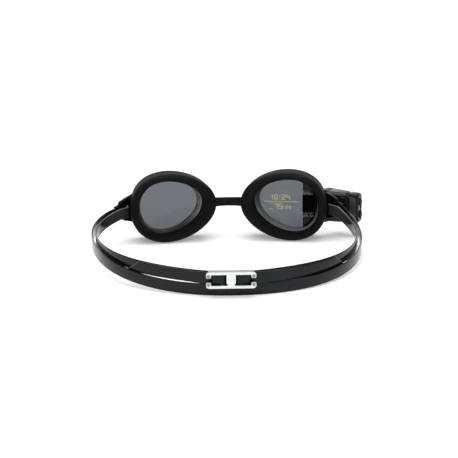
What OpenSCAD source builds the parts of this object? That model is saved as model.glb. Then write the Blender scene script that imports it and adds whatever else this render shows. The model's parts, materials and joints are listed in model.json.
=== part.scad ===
// Swim goggles with a display in the right lens. Millimetres, +Z up.
// The wearer looks along +Y. The origin is on the table, in the middle of the goggles' box.

/* [Eyecups] */
// Distance between the centres of the two eyecups
eye_spacing = 75.6; // [72:0.2:82]
// Width of a cup across its gasket
cup_width = 58.2; // [54:0.2:64]
// Height of a cup across its gasket
cup_height = 47; // [42:0.5:54]
// How far the middle of the cup's outline swells towards the temple
egg_bulge = 3.8; // [2:0.2:6]
// How far the foot of the cup's outline leans towards the temple
cup_lean = 1.4; // [0:0.2:4]
// How far the ends of the cup's outline sit above its middle
brow_lift = 1.2; // [0:0.2:3]
// How much wider the gasket is at the nose than at the temple
nose_extra = 3; // [1:0.2:4]
// Turn of each cup towards the side of the head, in degrees
wrap_angle = 7; // [4:1:12]

/* [Frame] */
// Depth of the rigid frame, front to back
frame_depth = 9; // [8:0.5:11]
// Gap from the gasket's outline to the frame's outer wall
frame_inset = 0.8; // [0.4:0.1:1.4]
// Width of the frame's front lip
frame_lip = 2.4; // [1.8:0.1:3]
// Width of the frame ring where it meets the gasket
frame_ring = 4.8; // [4.6:0.1:5.2]
// Width of the bevel from the gasket in to the lens window
window_step = 1.2; // [0.6:0.1:1.6]
// Depth of the lens ledge below the front of the frame
ledge_depth = 2.8; // [2.4:0.1:3.4]
// Width of the rib that holds the gasket
rib_width = 1.4; // [1:0.1:1.8]
// Length of the rib that holds the gasket
rib_length = 2.4; // [1.5:0.1:3]

/* [Gasket] */
// Width of the gasket's cushion
gasket_width = 5.3; // [4.8:0.1:6]
// Depth of the gasket behind the frame
gasket_depth = 11; // [9:0.5:14]

/* [Lens] */
// Thickness of a lens
lens_thick = 2.2; // [1.6:0.1:2.6]
// Rise of a lens at its middle
lens_crown = 2.2; // [1:0.1:3]

/* [Nose bridge] */
// Radius of the barrel at each end of the bridge
barrel_r = 2; // [1.6:0.1:2.2]
// Length of the barrels
barrel_length = 6.6; // [6:0.2:9]
// Wall round each barrel in the frame's socket
socket_wall = 1.4; // [1.2:0.1:1.8]
// Height of the bar at its middle
bridge_height = 5.2; // [4:0.2:6]
// Thickness of the bar, front to back
bridge_thick = 2.4; // [2:0.1:2.8]
// How far the bar bows forward
bridge_bow = 2; // [1:0.25:4]

/* [Strap] */
// Width of the strap
strap_width = 7.4; // [6.5:0.1:8]
// Thickness of the strap
strap_thick = 1.2; // [0.9:0.1:1.5]
// Distance from the cups' plane to the back of the strap loop
strap_depth = 128; // [110:1:150]
// How far out the left side of the loop swings at the back
left_swing = 84.5; // [70:0.5:95]
// How far out the right side of the loop swings at the back
right_swing = 91.5; // [75:0.5:100]
// Height of the strap at the tongues
strap_height = 20.3; // [16:0.1:24]
// Angle at which the strap leaves the tongues, in degrees
strap_angle = 45; // [38:1:50]
// Thickness of the tongue that the strap goes round
tongue_thick = 2.4; // [2:0.1:3]
// Length of the tongue from the slot to its tip
tongue_length = 6; // [5:0.5:8]

/* [Clip] */
// Length of the clip along the strap
clip_length = 31; // [29:0.5:36]
// Height of the clip
clip_height = 10.6; // [10.4:0.1:12]
// Thickness of the clip's front plate
clip_plate = 1.6; // [1.2:0.1:2]
// Thickness of the bar that each strap end folds round
clip_bar = 1.6; // [1.4:0.1:2]
// Width of the clip's middle post
clip_post = 4.4; // [4:0.2:6]
// Height of the clip's windows
clip_window = 6.8; // [5:0.2:7]
// Width of the clip's split side hooks
hook_width = 3.2; // [2.4:0.2:4]

/* [Pod] */
// Length of the pod along its own axis
pod_length = 24.8; // [24:0.2:32]
// Height of the pod
pod_height = 20.4; // [18.6:0.2:22]
// Depth of the pod where it meets the frame
pod_deep = 15; // [13:0.5:17]
// Depth of the pod at its outer end
pod_slim = 9.4; // [9:0.2:11]
// Rounding of the pod's edges
pod_round = 2.6; // [1.6:0.2:3]
// Turn of the pod from the cup's plane, in degrees
pod_sweep = 17; // [12:1:20]
// Height of the pod's middle above that of the cup
pod_rise = -3.4; // [-5:0.05:0]
// Length of the satin end cap
cap_length = 6.8; // [6.4:0.2:8]
// Width of the groove in front of the end cap
groove_width = 1.8; // [1.2:0.2:2.4]

/* [Buttons] */
// Radius of a push button
button_r = 2.4; // [1.8:0.1:2.5]
// How far a button stands out of the cap
button_proud = 0.7; // [0.6:0.1:1.4]
// Distance between the buttons' centres
button_pitch = 8.6; // [7.8:0.2:9]

/* [Hidden] */
$fn = 48;

// Small allowances
eps = 0.01;
fit_gap = 0.1;
sink = 0.3;
over = 1;
barrel_gap = 0.05;
strap_gap = 0.25;
clip_gap = 0.3;

// Steps round a cup and along the strap
cup_steps = 48;
lens_rings = [1, 0.8, 0.55, 0.3];
band_steps = 22;
turn_steps = 6;

// Cup outline at an angle, drawn in by d; a ring is wider at the sides than at the brow and the cheek
side_share = 1.36;
brow_share = 0.82;
function cup_x(t, d) = (cup_width / 2 - side_share * d) * cos(t) + egg_bulge * pow(sin(t), 2)
                     - cup_lean * sin(t) + nose_extra / 2 * d / gasket_width;
function cup_z(t, d) = (cup_height / 2 - brow_share * d) * sin(t) + brow_lift * pow(cos(t), 2);
function cup_outline(d) = [for (i = [0:cup_steps - 1])
    let (t = 360 * i / cup_steps) [cup_x(t, d), cup_z(t, d)]];

// A point in a cup's own plane, seen from above
function from_eye(x, y) = [eye_spacing / 2 + x * cos(wrap_angle) + y * sin(wrap_angle),
                           y * cos(wrap_angle) - x * sin(wrap_angle)];

// Frame and lens places
frame_in = frame_inset + frame_ring;
window_in = frame_in + window_step;
window_bevel = 1.9;
lip_in = frame_inset + frame_lip;
ledge_y = frame_depth - ledge_depth;
rib_step = 2.2;
rib_out = frame_inset + rib_step;
rib_in = rib_out + rib_width;
lip_bevel = 1;
gasket_flare = 3;

// Bridge places, in a cup's own plane
socket_r = barrel_r + barrel_gap + socket_wall;
socket_set_in = 1.1;
socket_x = cup_x(180, frame_inset) + socket_set_in;
socket_y = 4;
socket_opening = 50;
barrel_at = from_eye(socket_x, socket_y);
bridge_mid = cup_height / 2;
bridge_slope = 2 * atan(bridge_bow / barrel_at.x);
barrel_end_gap = 0.2;
dimple_r = 0.8;
dimple_depth = 0.6;

// Strap tongue places
tongue_out = 3.1;
tongue_fore = 0.7;
tongue_root = -8.5;
tongue_tip = 5.5;
tongue_run_in = 8;
// Stepped arm over the strap: [along, up] from the arm's tip to its root on the frame
arm_foot = 4.5;
arm_line = [[9.8, 4.5], [9.8, 5], [5.4, 6.3], [5.2, 7.8], [0.4, 9.5], [-8, 11.6]];
slot_room = 1;
slot_width = strap_thick + slot_room;
slot_height = strap_width + slot_room;
tongue_overlap = 2;
tongue_at = from_eye(cup_width / 2 + tongue_out, tongue_fore);
along = [cos(strap_angle), -sin(strap_angle)];
outward = [sin(strap_angle), cos(strap_angle)];

// Clip places
fold_r = clip_bar / 2 + clip_gap + strap_thick / 2;
fold_x = clip_post / 2 + clip_gap + strap_thick / 2 + fold_r;
plate_back = 2 * fold_r + strap_thick / 2 + clip_gap;
clip_front = plate_back + clip_plate;
rail_room = 0.8;
rail_height = (clip_height - strap_width) / 2 - rail_room;
hook_gap = 2.5;
clip_round = 3;
band_gap = 0.3;
clip_mid = 1.5 * strap_width + band_gap;
bar_length = 1.4;

// Strap route: two curved bands on each side, with the clip a little off the middle
clip_shift = 1;
clip_pull = 9;
fold_lift = 0.6;
wrap_r = tongue_thick / 2 + strap_gap + strap_thick / 2;
upper_from = tongue_at - outward * wrap_r + along * tongue_length;
lower_from = tongue_at + outward * wrap_r + along * tongue_length;
// Each side: swing, straight start, drop of the upper and the lower band, place of the tail's end,
// bend of the upper band on its way to the clip, and drop of the tail
left_side = [left_swing, 45, 7.2, 4.6, 0.69, [-2.2, clip_pull, 4.1], 0];
right_side = [right_swing, 32, 15.3, 12.4, 0.615, [-3.4, clip_pull, 2.7], 0.6];
function band(from, side, drop, shift, lift, height, bend) = let (to = from + along * side[1])
    [[from.x, from.y, strap_height], [to.x, to.y, strap_height - drop],
     [side[0], -lift - strap_depth, height] + bend, [shift, -lift - strap_depth, height]];
tail_rest = strap_thick + strap_gap;
tail_low = 0.58;
tail_climb = 0.3;
tail_slant = 1.5;
strap_edge = 0.25;

// A curve of four points, and its direction
function curve(p, t) = pow(1 - t, 3) * p[0] + 3 * pow(1 - t, 2) * t * p[1]
                     + 3 * (1 - t) * t * t * p[2] + pow(t, 3) * p[3];
function curve_dir(p, t) = unit(3 * pow(1 - t, 2) * (p[1] - p[0]) + 6 * (1 - t) * t * (p[2] - p[1])
                              + 3 * t * t * (p[3] - p[2]));
function unit(v) = v / norm(v);
// Level direction that points out of the loop
function out_of_loop(p, t) = let (d = curve_dir(p, t)) unit([-d.y, d.x, 0]);
// Place of the tail that lies over the upper band: how far out, and how far down
function tail_share(u) = let (s = min(1, max(0, (u - tail_low) / tail_climb))) s * s * (3 - 2 * s);
function tail_off(u) = tail_rest + (2 * fold_r - tail_rest) * tail_share(u);
function tail_sink(u, drop) = [0, 0, drop * (tail_share(u) - 1)];

// One half of the strap, from its tail round the clip and the tongue to the middle of the lower band
function half_strap(side, shift) =
    let (upper = band(upper_from, side, side[2], shift, fold_lift, clip_mid, side[5]),
         lower = band(lower_from, side, side[3], shift, 0, strap_width / 2, [0, 0, 0]),
         tail_at = side[4],
         fold_at = 1 - fold_x / (3 * (side[0] + side[5].x - shift)))
    concat(
        [for (i = [0:turn_steps * 2]) let (u = i / (turn_steps * 2), t = tail_at + (fold_at - tail_at) * u)
            if (i != 1) curve(upper, t) + out_of_loop(upper, t) * tail_off(u) + tail_sink(u, side[6])],
        [for (i = [1:turn_steps]) let (a = 180 * i / turn_steps)
            curve(upper, fold_at) + out_of_loop(upper, fold_at) * fold_r * (1 + cos(a))
            + curve_dir(upper, fold_at) * fold_r * sin(a)],
        [for (i = [1:band_steps]) curve(upper, fold_at * (1 - i / band_steps))],
        [for (i = [0:turn_steps]) let (a = 180 * i / turn_steps,
            p = tongue_at - (outward * cos(a) + along * sin(a)) * wrap_r) [p.x, p.y, strap_height]],
        [for (i = [0:band_steps]) curve(lower, i / band_steps)]);

function other_side(points) = [for (i = [len(points) - 2:-1:0]) [-points[i].x, points[i].y, points[i].z]];

// Pod places, in the pod's own axes: x along the pod, y forward, z up
pod_inset = 2.1;
pod_fore = 12.9;
pod_start = 4;
pod_root = -1;
cap_at = pod_length - cap_length;
seal_at = cap_at - groove_width;
groove_depth = 0.8;
pod_wall = 1.5;
pod_slope = 0.8;
shoulder_back = 0.8;
shoulder_from = -36;
shoulder_to = 22;
shoulder_steps = 6;
shoulder_arc = [for (i = [0:shoulder_steps])
    let (t = shoulder_from + (shoulder_to - shoulder_from) * i / shoulder_steps)
    [cup_x(t, frame_inset + sink), cup_z(t, frame_inset + sink)]];
side_wall = 0.5;
floor_wall = 1.8;
bay_half = pod_slim / 2 - side_wall;
bay_top = pod_height / 2 - floor_wall;
bay_start = pod_start + pod_wall;
function pod_half(x) = pod_deep / 2 + (pod_slim - pod_deep) / 2 * x / pod_length;

// Place of the cups' plane, with the origin midway between the clip and the front corner of the pod
function pod_to_eye_x(x, y) = cup_width / 2 - pod_inset + x * cos(pod_sweep) + y * sin(pod_sweep);
function pod_to_eye_y(x, y) = pod_fore - x * sin(pod_sweep) + y * cos(pod_sweep);
pod_front = pod_half(pod_start);
front_reach = from_eye(pod_to_eye_x(pod_start, pod_front), pod_to_eye_y(pod_start, pod_front)).y;
face_y = (strap_depth + clip_front - front_reach) / 2;

// End cap and button places
end_wall = 1.6;
button_gap = 0.1;
button_rest = 0.05;
flange_rim = 0.6;
flange_r = button_r + flange_rim;
flange_thick = 0.9;
press_travel = 0.5;
seal_thick = 0.4;
wall_in = pod_length - end_wall;
flange_top = wall_in - seal_thick - button_rest;
flange_foot = flange_top - flange_thick;
plunger_tip = flange_foot - press_travel - button_gap;
plunger_r = 1;
plunger_length = 0.8;
switch_thick = 1.7;
switch_size = 4.6;
board_thick = 1;
board_face = plunger_tip - plunger_length - switch_thick;
cap_half = flange_r + button_gap;
button_bevel = 0.4;
button_dish = 0.3;
cap_step = 0.5;

// Boards and battery in the pod
chip_height = 1.5;
// Each chip: share of the board's length, height and size
board_chip_places = [[0.6, 5.2, 3.6], [0.75, -5.2, 3], [0.3, -5.2, 3]];
contact_r = 0.7;
contact_pitch = 2.2;
ribbon_room = 1.2;
board_start = bay_start + ribbon_room;
contact_count = 4;

// Display engine places, in the cup's own plane
display_reach = 17;
display_edge = cup_width / 2 - display_reach;
guide_back = 3.4;
guide_front = 4.6;
engine_back = 2;
cover_back = 0.5;
cover_length = 8.4;
cover_rise = 0.2;
cover_height = 12.2;
cover_wall = 0.6;
engine_skin = 0.4;
chip_thick = 1.2;
chip_width = 7;
collimator_r = (guide_front - engine_skin - cover_back - cover_wall) / 2;
collimator_length = 2.6;
ribbon_thick = 0.3;
ribbon_width = 5;
ribbon_gap = 0.4;
ribbon_turn = 1.2;

module placed() { translate([0, face_y, 0]) children(); }
module right_eye() {
    placed() translate([eye_spacing / 2, 0, cup_height / 2]) rotate([0, 0, -wrap_angle]) children();
}
module left_eye() { mirror([1, 0, 0]) right_eye() children(); }
module pod_to_eye() {
    translate([cup_width / 2 - pod_inset, pod_fore, pod_rise]) rotate([0, 0, -pod_sweep]) children();
}
module pod_place() { right_eye() pod_to_eye() children(); }

// A ring with one cross-section, [drawn in, forward], carried round the cup's outline
module cup_ring(section) {
    n = len(section);
    points = [for (i = [0:cup_steps - 1]) for (p = section)
        [cup_x(360 * i / cup_steps, p[0]), p[1], cup_z(360 * i / cup_steps, p[0])]];
    faces = [for (i = [0:cup_steps - 1]) for (j = [0:n - 1])
        let (k = (i + 1) % cup_steps, m = (j + 1) % n)
        each [[i * n + j, k * n + m, i * n + m], [i * n + j, k * n + j, k * n + m]]];
    polyhedron(points, faces, convexity = 10);
}

// A flat plate with the cup's outline
module cup_plate(d, from, to) {
    translate([0, to, 0]) rotate([90, 0, 0]) linear_extrude(to - from) polygon(cup_outline(d));
}

// A strip swept along points with its width upright and its ends cut on a slant
module strip(path) {
    last = len(path) - 1;
    w = strap_width / 2;
    h = strap_thick / 2;
    c = strap_edge;
    section = [[h, c - w], [h, w - c], [h - c, w], [c - h, w],
               [-h, w - c], [-h, c - w], [c - h, -w], [h - c, -w]];
    n = len(section);
    points = [for (i = [0:last])
        let (d = unit(path[min(i + 1, last)] - path[max(i - 1, 0)]),
             up = unit([0, 0, 1] - d * d.z),
             side = cross(d, up),
             slant = i == 0 ? tail_slant : i == last ? -tail_slant : 0)
        for (s = section) path[i] + side * s[0] + up * s[1] + d * slant * s[1]];
    walls = [for (i = [0:last - 1]) for (j = [0:n - 1]) let (m = (j + 1) % n)
        each [[i * n + j, i * n + m, (i + 1) * n + m], [i * n + j, (i + 1) * n + m, (i + 1) * n + j]]];
    ends = [for (j = [1:n - 2]) each [[0, j + 1, j], [last * n, last * n + j, last * n + j + 1]]];
    polyhedron(points, concat(walls, ends), convexity = 10);
}

// Rigid frame of one cup: lipped ring, gasket rib, barrel socket and slotted strap tongue
module frame_ring_body() {
    cup_ring([[frame_inset, 0], [frame_inset, frame_depth - 2 * lip_bevel],
              [frame_inset + lip_bevel, frame_depth], [lip_in, frame_depth], [lip_in, ledge_y],
              [window_in, ledge_y], [window_in, window_bevel], [frame_in, 0], [rib_in, 0],
              [rib_in, -rib_length], [rib_out, -rib_length], [rib_out, 0]]);
}
module socket_at() { translate([socket_x, socket_y, -barrel_length / 2]) children(); }
module socket_boss() {
    difference() {
        socket_at() cylinder(r = socket_r, h = barrel_length);
        cup_plate(lip_in - sink, ledge_y - sink, frame_depth);
    }
}
module socket_cut() {
    reach = 3 * socket_r;
    tall = barrel_length + 2 * barrel_end_gap;
    socket_at() translate([0, 0, -barrel_end_gap]) {
        cylinder(r = barrel_r + barrel_gap, h = tall);
        rotate([0, 0, wrap_angle - bridge_slope]) translate([0, 0, -over]) linear_extrude(tall + 2 * over)
            polygon([[0, 0], [-reach, -reach * tan(socket_opening)], [-reach, reach * tan(socket_opening)]]);
    }
}
module tongue_at_place() {
    translate([cup_width / 2 + tongue_out, tongue_fore, strap_height - cup_height / 2])
        rotate([0, 0, wrap_angle - strap_angle]) children();
}
module strap_tongue() {
    edge = tongue_thick / 2;
    tongue_at_place() difference() {
        rotate([90, 0, 0]) translate([0, 0, -edge]) linear_extrude(tongue_thick)
            polygon(concat([[-tongue_run_in, tongue_root], [tongue_length, -tongue_tip],
                            [tongue_length, arm_foot]], arm_line));
        translate([-slot_width - edge, -tongue_thick, -slot_height / 2])
            cube([slot_width + edge, 2 * tongue_thick, slot_height]);
    }
    tongue_at_place() translate([0, 0, -slot_height / 2]) cylinder(r = edge, h = slot_height);
}
module cup_frame() {
    difference() {
        union() {
            frame_ring_body();
            socket_boss();
            difference() {
                strap_tongue();
                cup_plate(frame_in - tongue_overlap, -gasket_depth, frame_depth);
            }
        }
        socket_cut();
    }
}
module left_frame() { color("#141416") left_eye() cup_frame(); }

// Shoulder that carries the pod on the right frame
module pod_shoulder() {
    difference() {
        hull() {
            pod_to_eye() intersection() {
                pod_solid();
                pod_slice(pod_start - eps, pod_start);
            }
            translate([0, frame_depth - shoulder_back, 0]) rotate([90, 0, 0])
                linear_extrude(frame_depth - 2 * shoulder_back) polygon(shoulder_arc);
        }
        pod_to_eye() pod_slice(pod_start - eps / 2, pod_length);
        cup_plate(lip_in - sink, ledge_y - sink, frame_depth);
        cup_plate(window_in - sink, 0, frame_depth);
    }
}
// Flat ribbon, as a slot or as the ribbon itself, from the display chip through the frame to the board
module ribbon_stop(x, y, r, h) { translate([x, y, -h / 2]) cylinder(r = r, h = h, $fn = 16); }
module ribbon_path(r, h) {
    over_board = board_thick + ribbon_thick / 2;
    hull() {
        ribbon_stop(display_edge + cover_length - cover_wall + ribbon_thick / 2, guide_back, r, h);
        ribbon_stop(cup_width / 2 - frame_inset - ribbon_turn, ledge_y - ribbon_turn, r, h);
    }
    hull() {
        ribbon_stop(cup_width / 2 - frame_inset - ribbon_turn, ledge_y - ribbon_turn, r, h);
        pod_to_eye() translate([0, 0, -pod_rise]) ribbon_stop(bay_start + ribbon_room / 3, over_board, r, h);
    }
    hull() for (x = [bay_start + ribbon_room / 3, board_start + ribbon_turn])
        pod_to_eye() translate([0, 0, -pod_rise]) ribbon_stop(x, over_board, r, h);
}
module right_frame() {
    color("#141416") right_eye() difference() {
        union() {
            cup_frame();
            pod_shoulder();
        }
        pod_to_eye() intersection() {
            pod_solid(-fit_gap);
            pod_slice(pod_start - eps / 2, pod_length);
        }
        ribbon_path(ribbon_thick / 2 + ribbon_gap, ribbon_width + 2 * ribbon_gap);
    }
}

// Silicone face seal of one cup, with a groove for the frame's rib
module gasket_body() {
    round_r = gasket_width / 2;
    lip = [for (a = [180:-30:0]) [round_r - round_r * cos(a), round_r - gasket_depth - round_r * sin(a)]];
    groove = rib_length + fit_gap;
    cup_ring(concat([[rib_out - fit_gap, 0], [rib_out - fit_gap, -groove], [rib_in + fit_gap, -groove],
                     [rib_in + fit_gap, 0], [frame_in, 0]], lip, [[0, -gasket_flare], [frame_inset, 0]]));
}
module left_gasket() { color("#1c1c1e") left_eye() gasket_body(); }
module right_gasket() { color("#1c1c1e") right_eye() gasket_body(); }

// Domed lens that sits on the frame's ledge
module lens_body() {
    rim = cup_outline(lip_in + fit_gap);
    n = cup_steps;
    rings = len(lens_rings);
    function lens_face(y) = concat([for (q = lens_rings) for (p = rim)
        [p[0] * q, y + lens_crown * (1 - q * q), p[1] * q]], [[0, y + lens_crown, 0]]);
    back = lens_face(ledge_y);
    front = lens_face(ledge_y + lens_thick);
    side = len(back);
    function skin(o, flip) = [for (r = [0:rings - 1]) for (i = [0:n - 1])
        let (k = (i + 1) % n, a = o + r * n + i, b = o + r * n + k,
             c = r == rings - 1 ? o + rings * n : o + (r + 1) * n + k, d = o + (r + 1) * n + i)
        each r == rings - 1 ? [flip ? [a, c, b] : [a, b, c]]
                            : flip ? [[a, c, b], [a, d, c]] : [[a, b, c], [a, c, d]]];
    wall = [for (i = [0:n - 1]) let (k = (i + 1) % n) each [[i, k, side + k], [i, side + k, side + i]]];
    polyhedron(concat(back, front), concat(skin(0, true), skin(side, false), wall), convexity = 6);
}
module left_lens() { color("#6a6e72") left_eye() lens_body(); }
module right_lens() { color("#6a6e72") right_eye() lens_body(); }

// Bar between the cups with a barrel at each end
module nose_bridge() {
    half = barrel_at.x;
    bow_r = (half * half + bridge_bow * bridge_bow) / (2 * bridge_bow);
    flare_r = (half * half + pow((barrel_length - bridge_height) / 2, 2)) / (barrel_length - bridge_height);
    color("#18181a") placed() difference() {
        union() {
            intersection() {
                translate([0, barrel_at.y + bridge_bow - bow_r, bridge_mid - barrel_length / 2])
                    difference() {
                        cylinder(r = bow_r + bridge_thick / 2, h = barrel_length, $fn = 96);
                        translate([0, 0, -over])
                            cylinder(r = bow_r - bridge_thick / 2, h = barrel_length + 2 * over, $fn = 96);
                    }
                translate([0, barrel_at.y, bridge_mid]) rotate([90, 0, 0]) translate([0, 0, -bow_r])
                    linear_extrude(2 * bow_r) difference() {
                        square([2 * half, barrel_length], center = true);
                        for (s = [-1, 1]) translate([0, s * (bridge_height / 2 + flare_r)])
                            circle(r = flare_r, $fn = 96);
                    }
                translate([-half, barrel_at.y - bow_r / 2, 0]) cube([2 * half, bow_r, 2 * cup_height]);
            }
            for (s = [-1, 1]) translate([s * half, barrel_at.y, bridge_mid - barrel_length / 2])
                cylinder(r = barrel_r, h = barrel_length);
        }
        translate([0, barrel_at.y + bridge_bow - bridge_thick / 2 + dimple_depth, bridge_mid])
            rotate([90, 0, 0]) cylinder(r = dimple_r, h = bridge_thick);
    }
}

// Silicone band that runs from one tail to the other
module head_strap() {
    color("#26272a") placed()
        strip(concat(half_strap(right_side, clip_shift), other_side(half_strap(left_side, -clip_shift))));
}

// Clear clip: front plate with two windows and split side hooks, two rails and a fold bar on each side
module clip_outline() {
    x = clip_length / 2 - clip_round;
    z = clip_height / 2 - clip_round;
    for (s = [-1, 1]) for (u = [-1, 1]) translate([s * x, u * z]) circle(r = clip_round);
    square([clip_length, 2 * z], center = true);
    square([2 * x, clip_height], center = true);
}
module clip_rails() {
    intersection() {
        clip_outline();
        for (u = [-1, 1]) translate([0, u * (clip_height - rail_height) / 2])
            square([clip_length, rail_height], center = true);
    }
}
module strap_clip() {
    window = clip_length / 2 - hook_width - clip_post / 2;
    inner = clip_height - 2 * rail_height;
    bar_at = fold_r - clip_bar / 2;
    bar_x = fold_x + fold_r * clip_pull / left_swing;
    color("#e8ecef") placed() translate([clip_shift, -strap_depth, clip_mid]) rotate([90, 0, 0]) {
        translate([0, 0, plate_back]) linear_extrude(clip_plate) difference() {
            clip_outline();
            for (s = [-1, 1]) translate([s * (clip_post + window) / 2, 0])
                square([window, clip_window], center = true);
            for (s = [-1, 1]) translate([s * (clip_length - hook_width) / 2, 0])
                square([hook_width + over, hook_gap], center = true);
        }
        translate([0, 0, bar_at]) linear_extrude(plate_back - bar_at + sink) clip_rails();
        for (s = [-1, 1]) {
            translate([s * bar_x, 0, fold_r]) rotate([90, 0, 0])
                cylinder(r = clip_bar / 2, h = inner + rail_height, center = true);
            translate([s * (bar_x + bar_length / 2), 0, fold_r])
                cube([bar_length, inner + rail_height, clip_bar], center = true);
        }
    }
}

// Rounded, tapering outer shape of the pod, drawn in by d
module pod_solid(d = 0) {
    r = pod_round - d;
    hull() for (x = [pod_root, pod_length]) for (s = [-1, 1]) for (u = [-1, 1])
        translate([x == pod_root ? x + pod_round : x - pod_round, s * (pod_half(x) - pod_round),
                   u * (pod_height / 2 - pod_round) + (x == pod_root && u > 0 ? pod_slope : 0)])
            sphere(r = r, $fn = 20);
}
module pod_slice(from, to) {
    translate([from, -pod_deep, -pod_height]) cube([to - from, 2 * pod_deep, 2 * pod_height]);
}
module bay(from, to, half) { translate([from, -half, -bay_top]) cube([to - from, 2 * half, 2 * bay_top]); }
module contact_places() {
    for (i = [0:contact_count - 1])
        translate([(board_start + seal_at) / 2 + (i - (contact_count - 1) / 2) * contact_pitch,
                   board_thick / 2, 0]) children();
}
module pod_housing() {
    color("#121214") difference() {
        pod_place() difference() {
            intersection() {
                pod_solid();
                pod_slice(pod_start, seal_at);
            }
            bay(bay_start, pod_length, bay_half);
            contact_places() translate([0, 0, -pod_height]) cylinder(r = contact_r, h = pod_height);
        }
        right_eye() ribbon_path(ribbon_thick / 2 + ribbon_gap, ribbon_width + 2 * ribbon_gap);
    }
}
module pod_seal() {
    color("#0a0a0b") pod_place() difference() {
        intersection() {
            pod_solid(groove_depth);
            pod_slice(seal_at, cap_at);
        }
        bay(0, pod_length, bay_half);
    }
}
module pod_end_cap() {
    color("#3a3b3d") pod_place() difference() {
        intersection() {
            pod_solid();
            pod_slice(cap_at, pod_length + over);
        }
        bay(0, board_face, cap_half + cap_step);
        bay(0, wall_in, cap_half);
        button_places() cylinder(r = button_r + button_gap, h = 2 * end_wall + button_proud);
    }
}

// Axes of the two buttons, along the pod
module button_places() {
    for (s = [-1, 1]) translate([wall_in - over, 0, s * button_pitch / 2]) rotate([0, 90, 0]) children();
}
module button_body(s) {
    stem = pod_length + button_proud - flange_top;
    translate([0, 0, s * button_pitch / 2]) {
        translate([flange_foot, 0, 0]) rotate([0, 90, 0]) cylinder(r = flange_r, h = flange_thick);
        translate([flange_top, 0, 0]) rotate([0, 90, 0]) rotate_extrude()
            polygon([[0, 0], [button_r, 0], [button_r, stem - button_bevel], [button_r - button_bevel, stem],
                     [0, stem - button_dish]]);
    }
}
module upper_button() { color("#2a2b2d") pod_place() button_body(1); }
module lower_button() { color("#2a2b2d") pod_place() button_body(-1); }
module button_seals() {
    color("#111111") pod_place() for (s = [-1, 1]) translate([wall_in - seal_thick, 0, s * button_pitch / 2])
        rotate([0, 90, 0]) difference() {
            cylinder(r = flange_r, h = seal_thick);
            translate([0, 0, -over]) cylinder(r = button_r + button_gap, h = seal_thick + 2 * over);
        }
}
module button_board() {
    color("#1f5c3a") pod_place() translate([board_face - board_thick, -cap_half - cap_step, -bay_top])
        cube([board_thick, 2 * (cap_half + cap_step), 2 * bay_top]);
}
module button_switches() {
    color("#9a9ea2") pod_place() for (s = [-1, 1]) translate([board_face, 0, s * button_pitch / 2]) {
        translate([0, -switch_size / 2, -switch_size / 2]) cube([switch_thick, switch_size, switch_size]);
        rotate([0, 90, 0]) cylinder(r = plunger_r, h = switch_thick + plunger_length);
    }
}

// Boards, battery and contacts in the pod
module battery() {
    color("#8d9195") pod_place() translate([board_start, -bay_half, -bay_top])
        cube([seal_at - board_start, bay_half, 2 * bay_top]);
}
module main_board() {
    color("#1f5c3a") pod_place() translate([board_start, 0, -bay_top])
        cube([seal_at - board_start, board_thick, 2 * bay_top]);
}
module board_chips() {
    color("#2b2b2e") pod_place() for (c = board_chip_places)
        translate([board_start + c[0] * (seal_at - board_start) - c[2] / 2, board_thick, c[1] - c[2] / 2])
            cube([c[2], chip_height, c[2]]);
}
module charge_contacts() {
    color("#c9a24a") pod_place() contact_places() translate([0, 0, -pod_height / 2])
        cylinder(r = contact_r, h = pod_height / 2 - bay_top);
}

// Display engine at the temple side of the right lens
module temple_side(d, from, to) {
    intersection() {
        cup_plate(d, from, to);
        translate([display_edge, from - over, -cup_height])
            cube([cup_width, to - from + 2 * over, 2 * cup_height]);
    }
}
module waveguide() {
    color("#aab2b6") right_eye() difference() {
        cup_plate(window_in, guide_back, guide_front);
        translate([display_edge, guide_back - over, -cup_height])
            cube([cup_width, guide_front - guide_back + 2 * over, 2 * cup_height]);
    }
}
module engine_bay(from, to) {
    translate([display_edge + cover_wall, from, cover_rise - cover_height / 2 + cover_wall])
        cube([cover_length - 2 * cover_wall, to - from, cover_height - 2 * cover_wall]);
}
module projector_housing() {
    color("#1a1b1d") right_eye() difference() {
        temple_side(window_in, engine_back, guide_front);
        engine_bay(engine_back - over, guide_front - engine_skin);
        ribbon_path(ribbon_thick / 2 + ribbon_gap, ribbon_width + 2 * ribbon_gap);
    }
}
module projector_cover() {
    color("#0c0c0d") right_eye() difference() {
        translate([display_edge, cover_back, cover_rise - cover_height / 2])
            cube([cover_length, engine_back - cover_back, cover_height]);
        engine_bay(cover_back + cover_wall, engine_back + over);
    }
}
module micro_display() {
    color("#3b5d7a") right_eye() translate([display_edge + cover_length - cover_wall - chip_thick,
        cover_back + cover_wall, cover_rise - chip_width / 2])
            cube([chip_thick, 2 * collimator_r, chip_width]);
}
module collimator_lens() {
    color("#dfe6ea") right_eye()
        translate([display_edge + cover_wall, cover_back + cover_wall + collimator_r, cover_rise])
            rotate([0, 90, 0]) cylinder(r = collimator_r, h = collimator_length);
}
module display_ribbon() {
    color("#b5722e") right_eye() ribbon_path(ribbon_thick / 2, ribbon_width);
}

nose_bridge();
head_strap();
strap_clip();
left_frame();
left_lens();
left_gasket();
right_frame();
right_lens();
right_gasket();
waveguide();
projector_housing();
projector_cover();
collimator_lens();
micro_display();
display_ribbon();
pod_housing();
pod_seal();
pod_end_cap();
main_board();
board_chips();
battery();
charge_contacts();
button_board();
button_switches();
button_seals();
upper_button();
lower_button();
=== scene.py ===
"""Swim goggles with a display in the right lens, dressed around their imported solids."""

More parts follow.
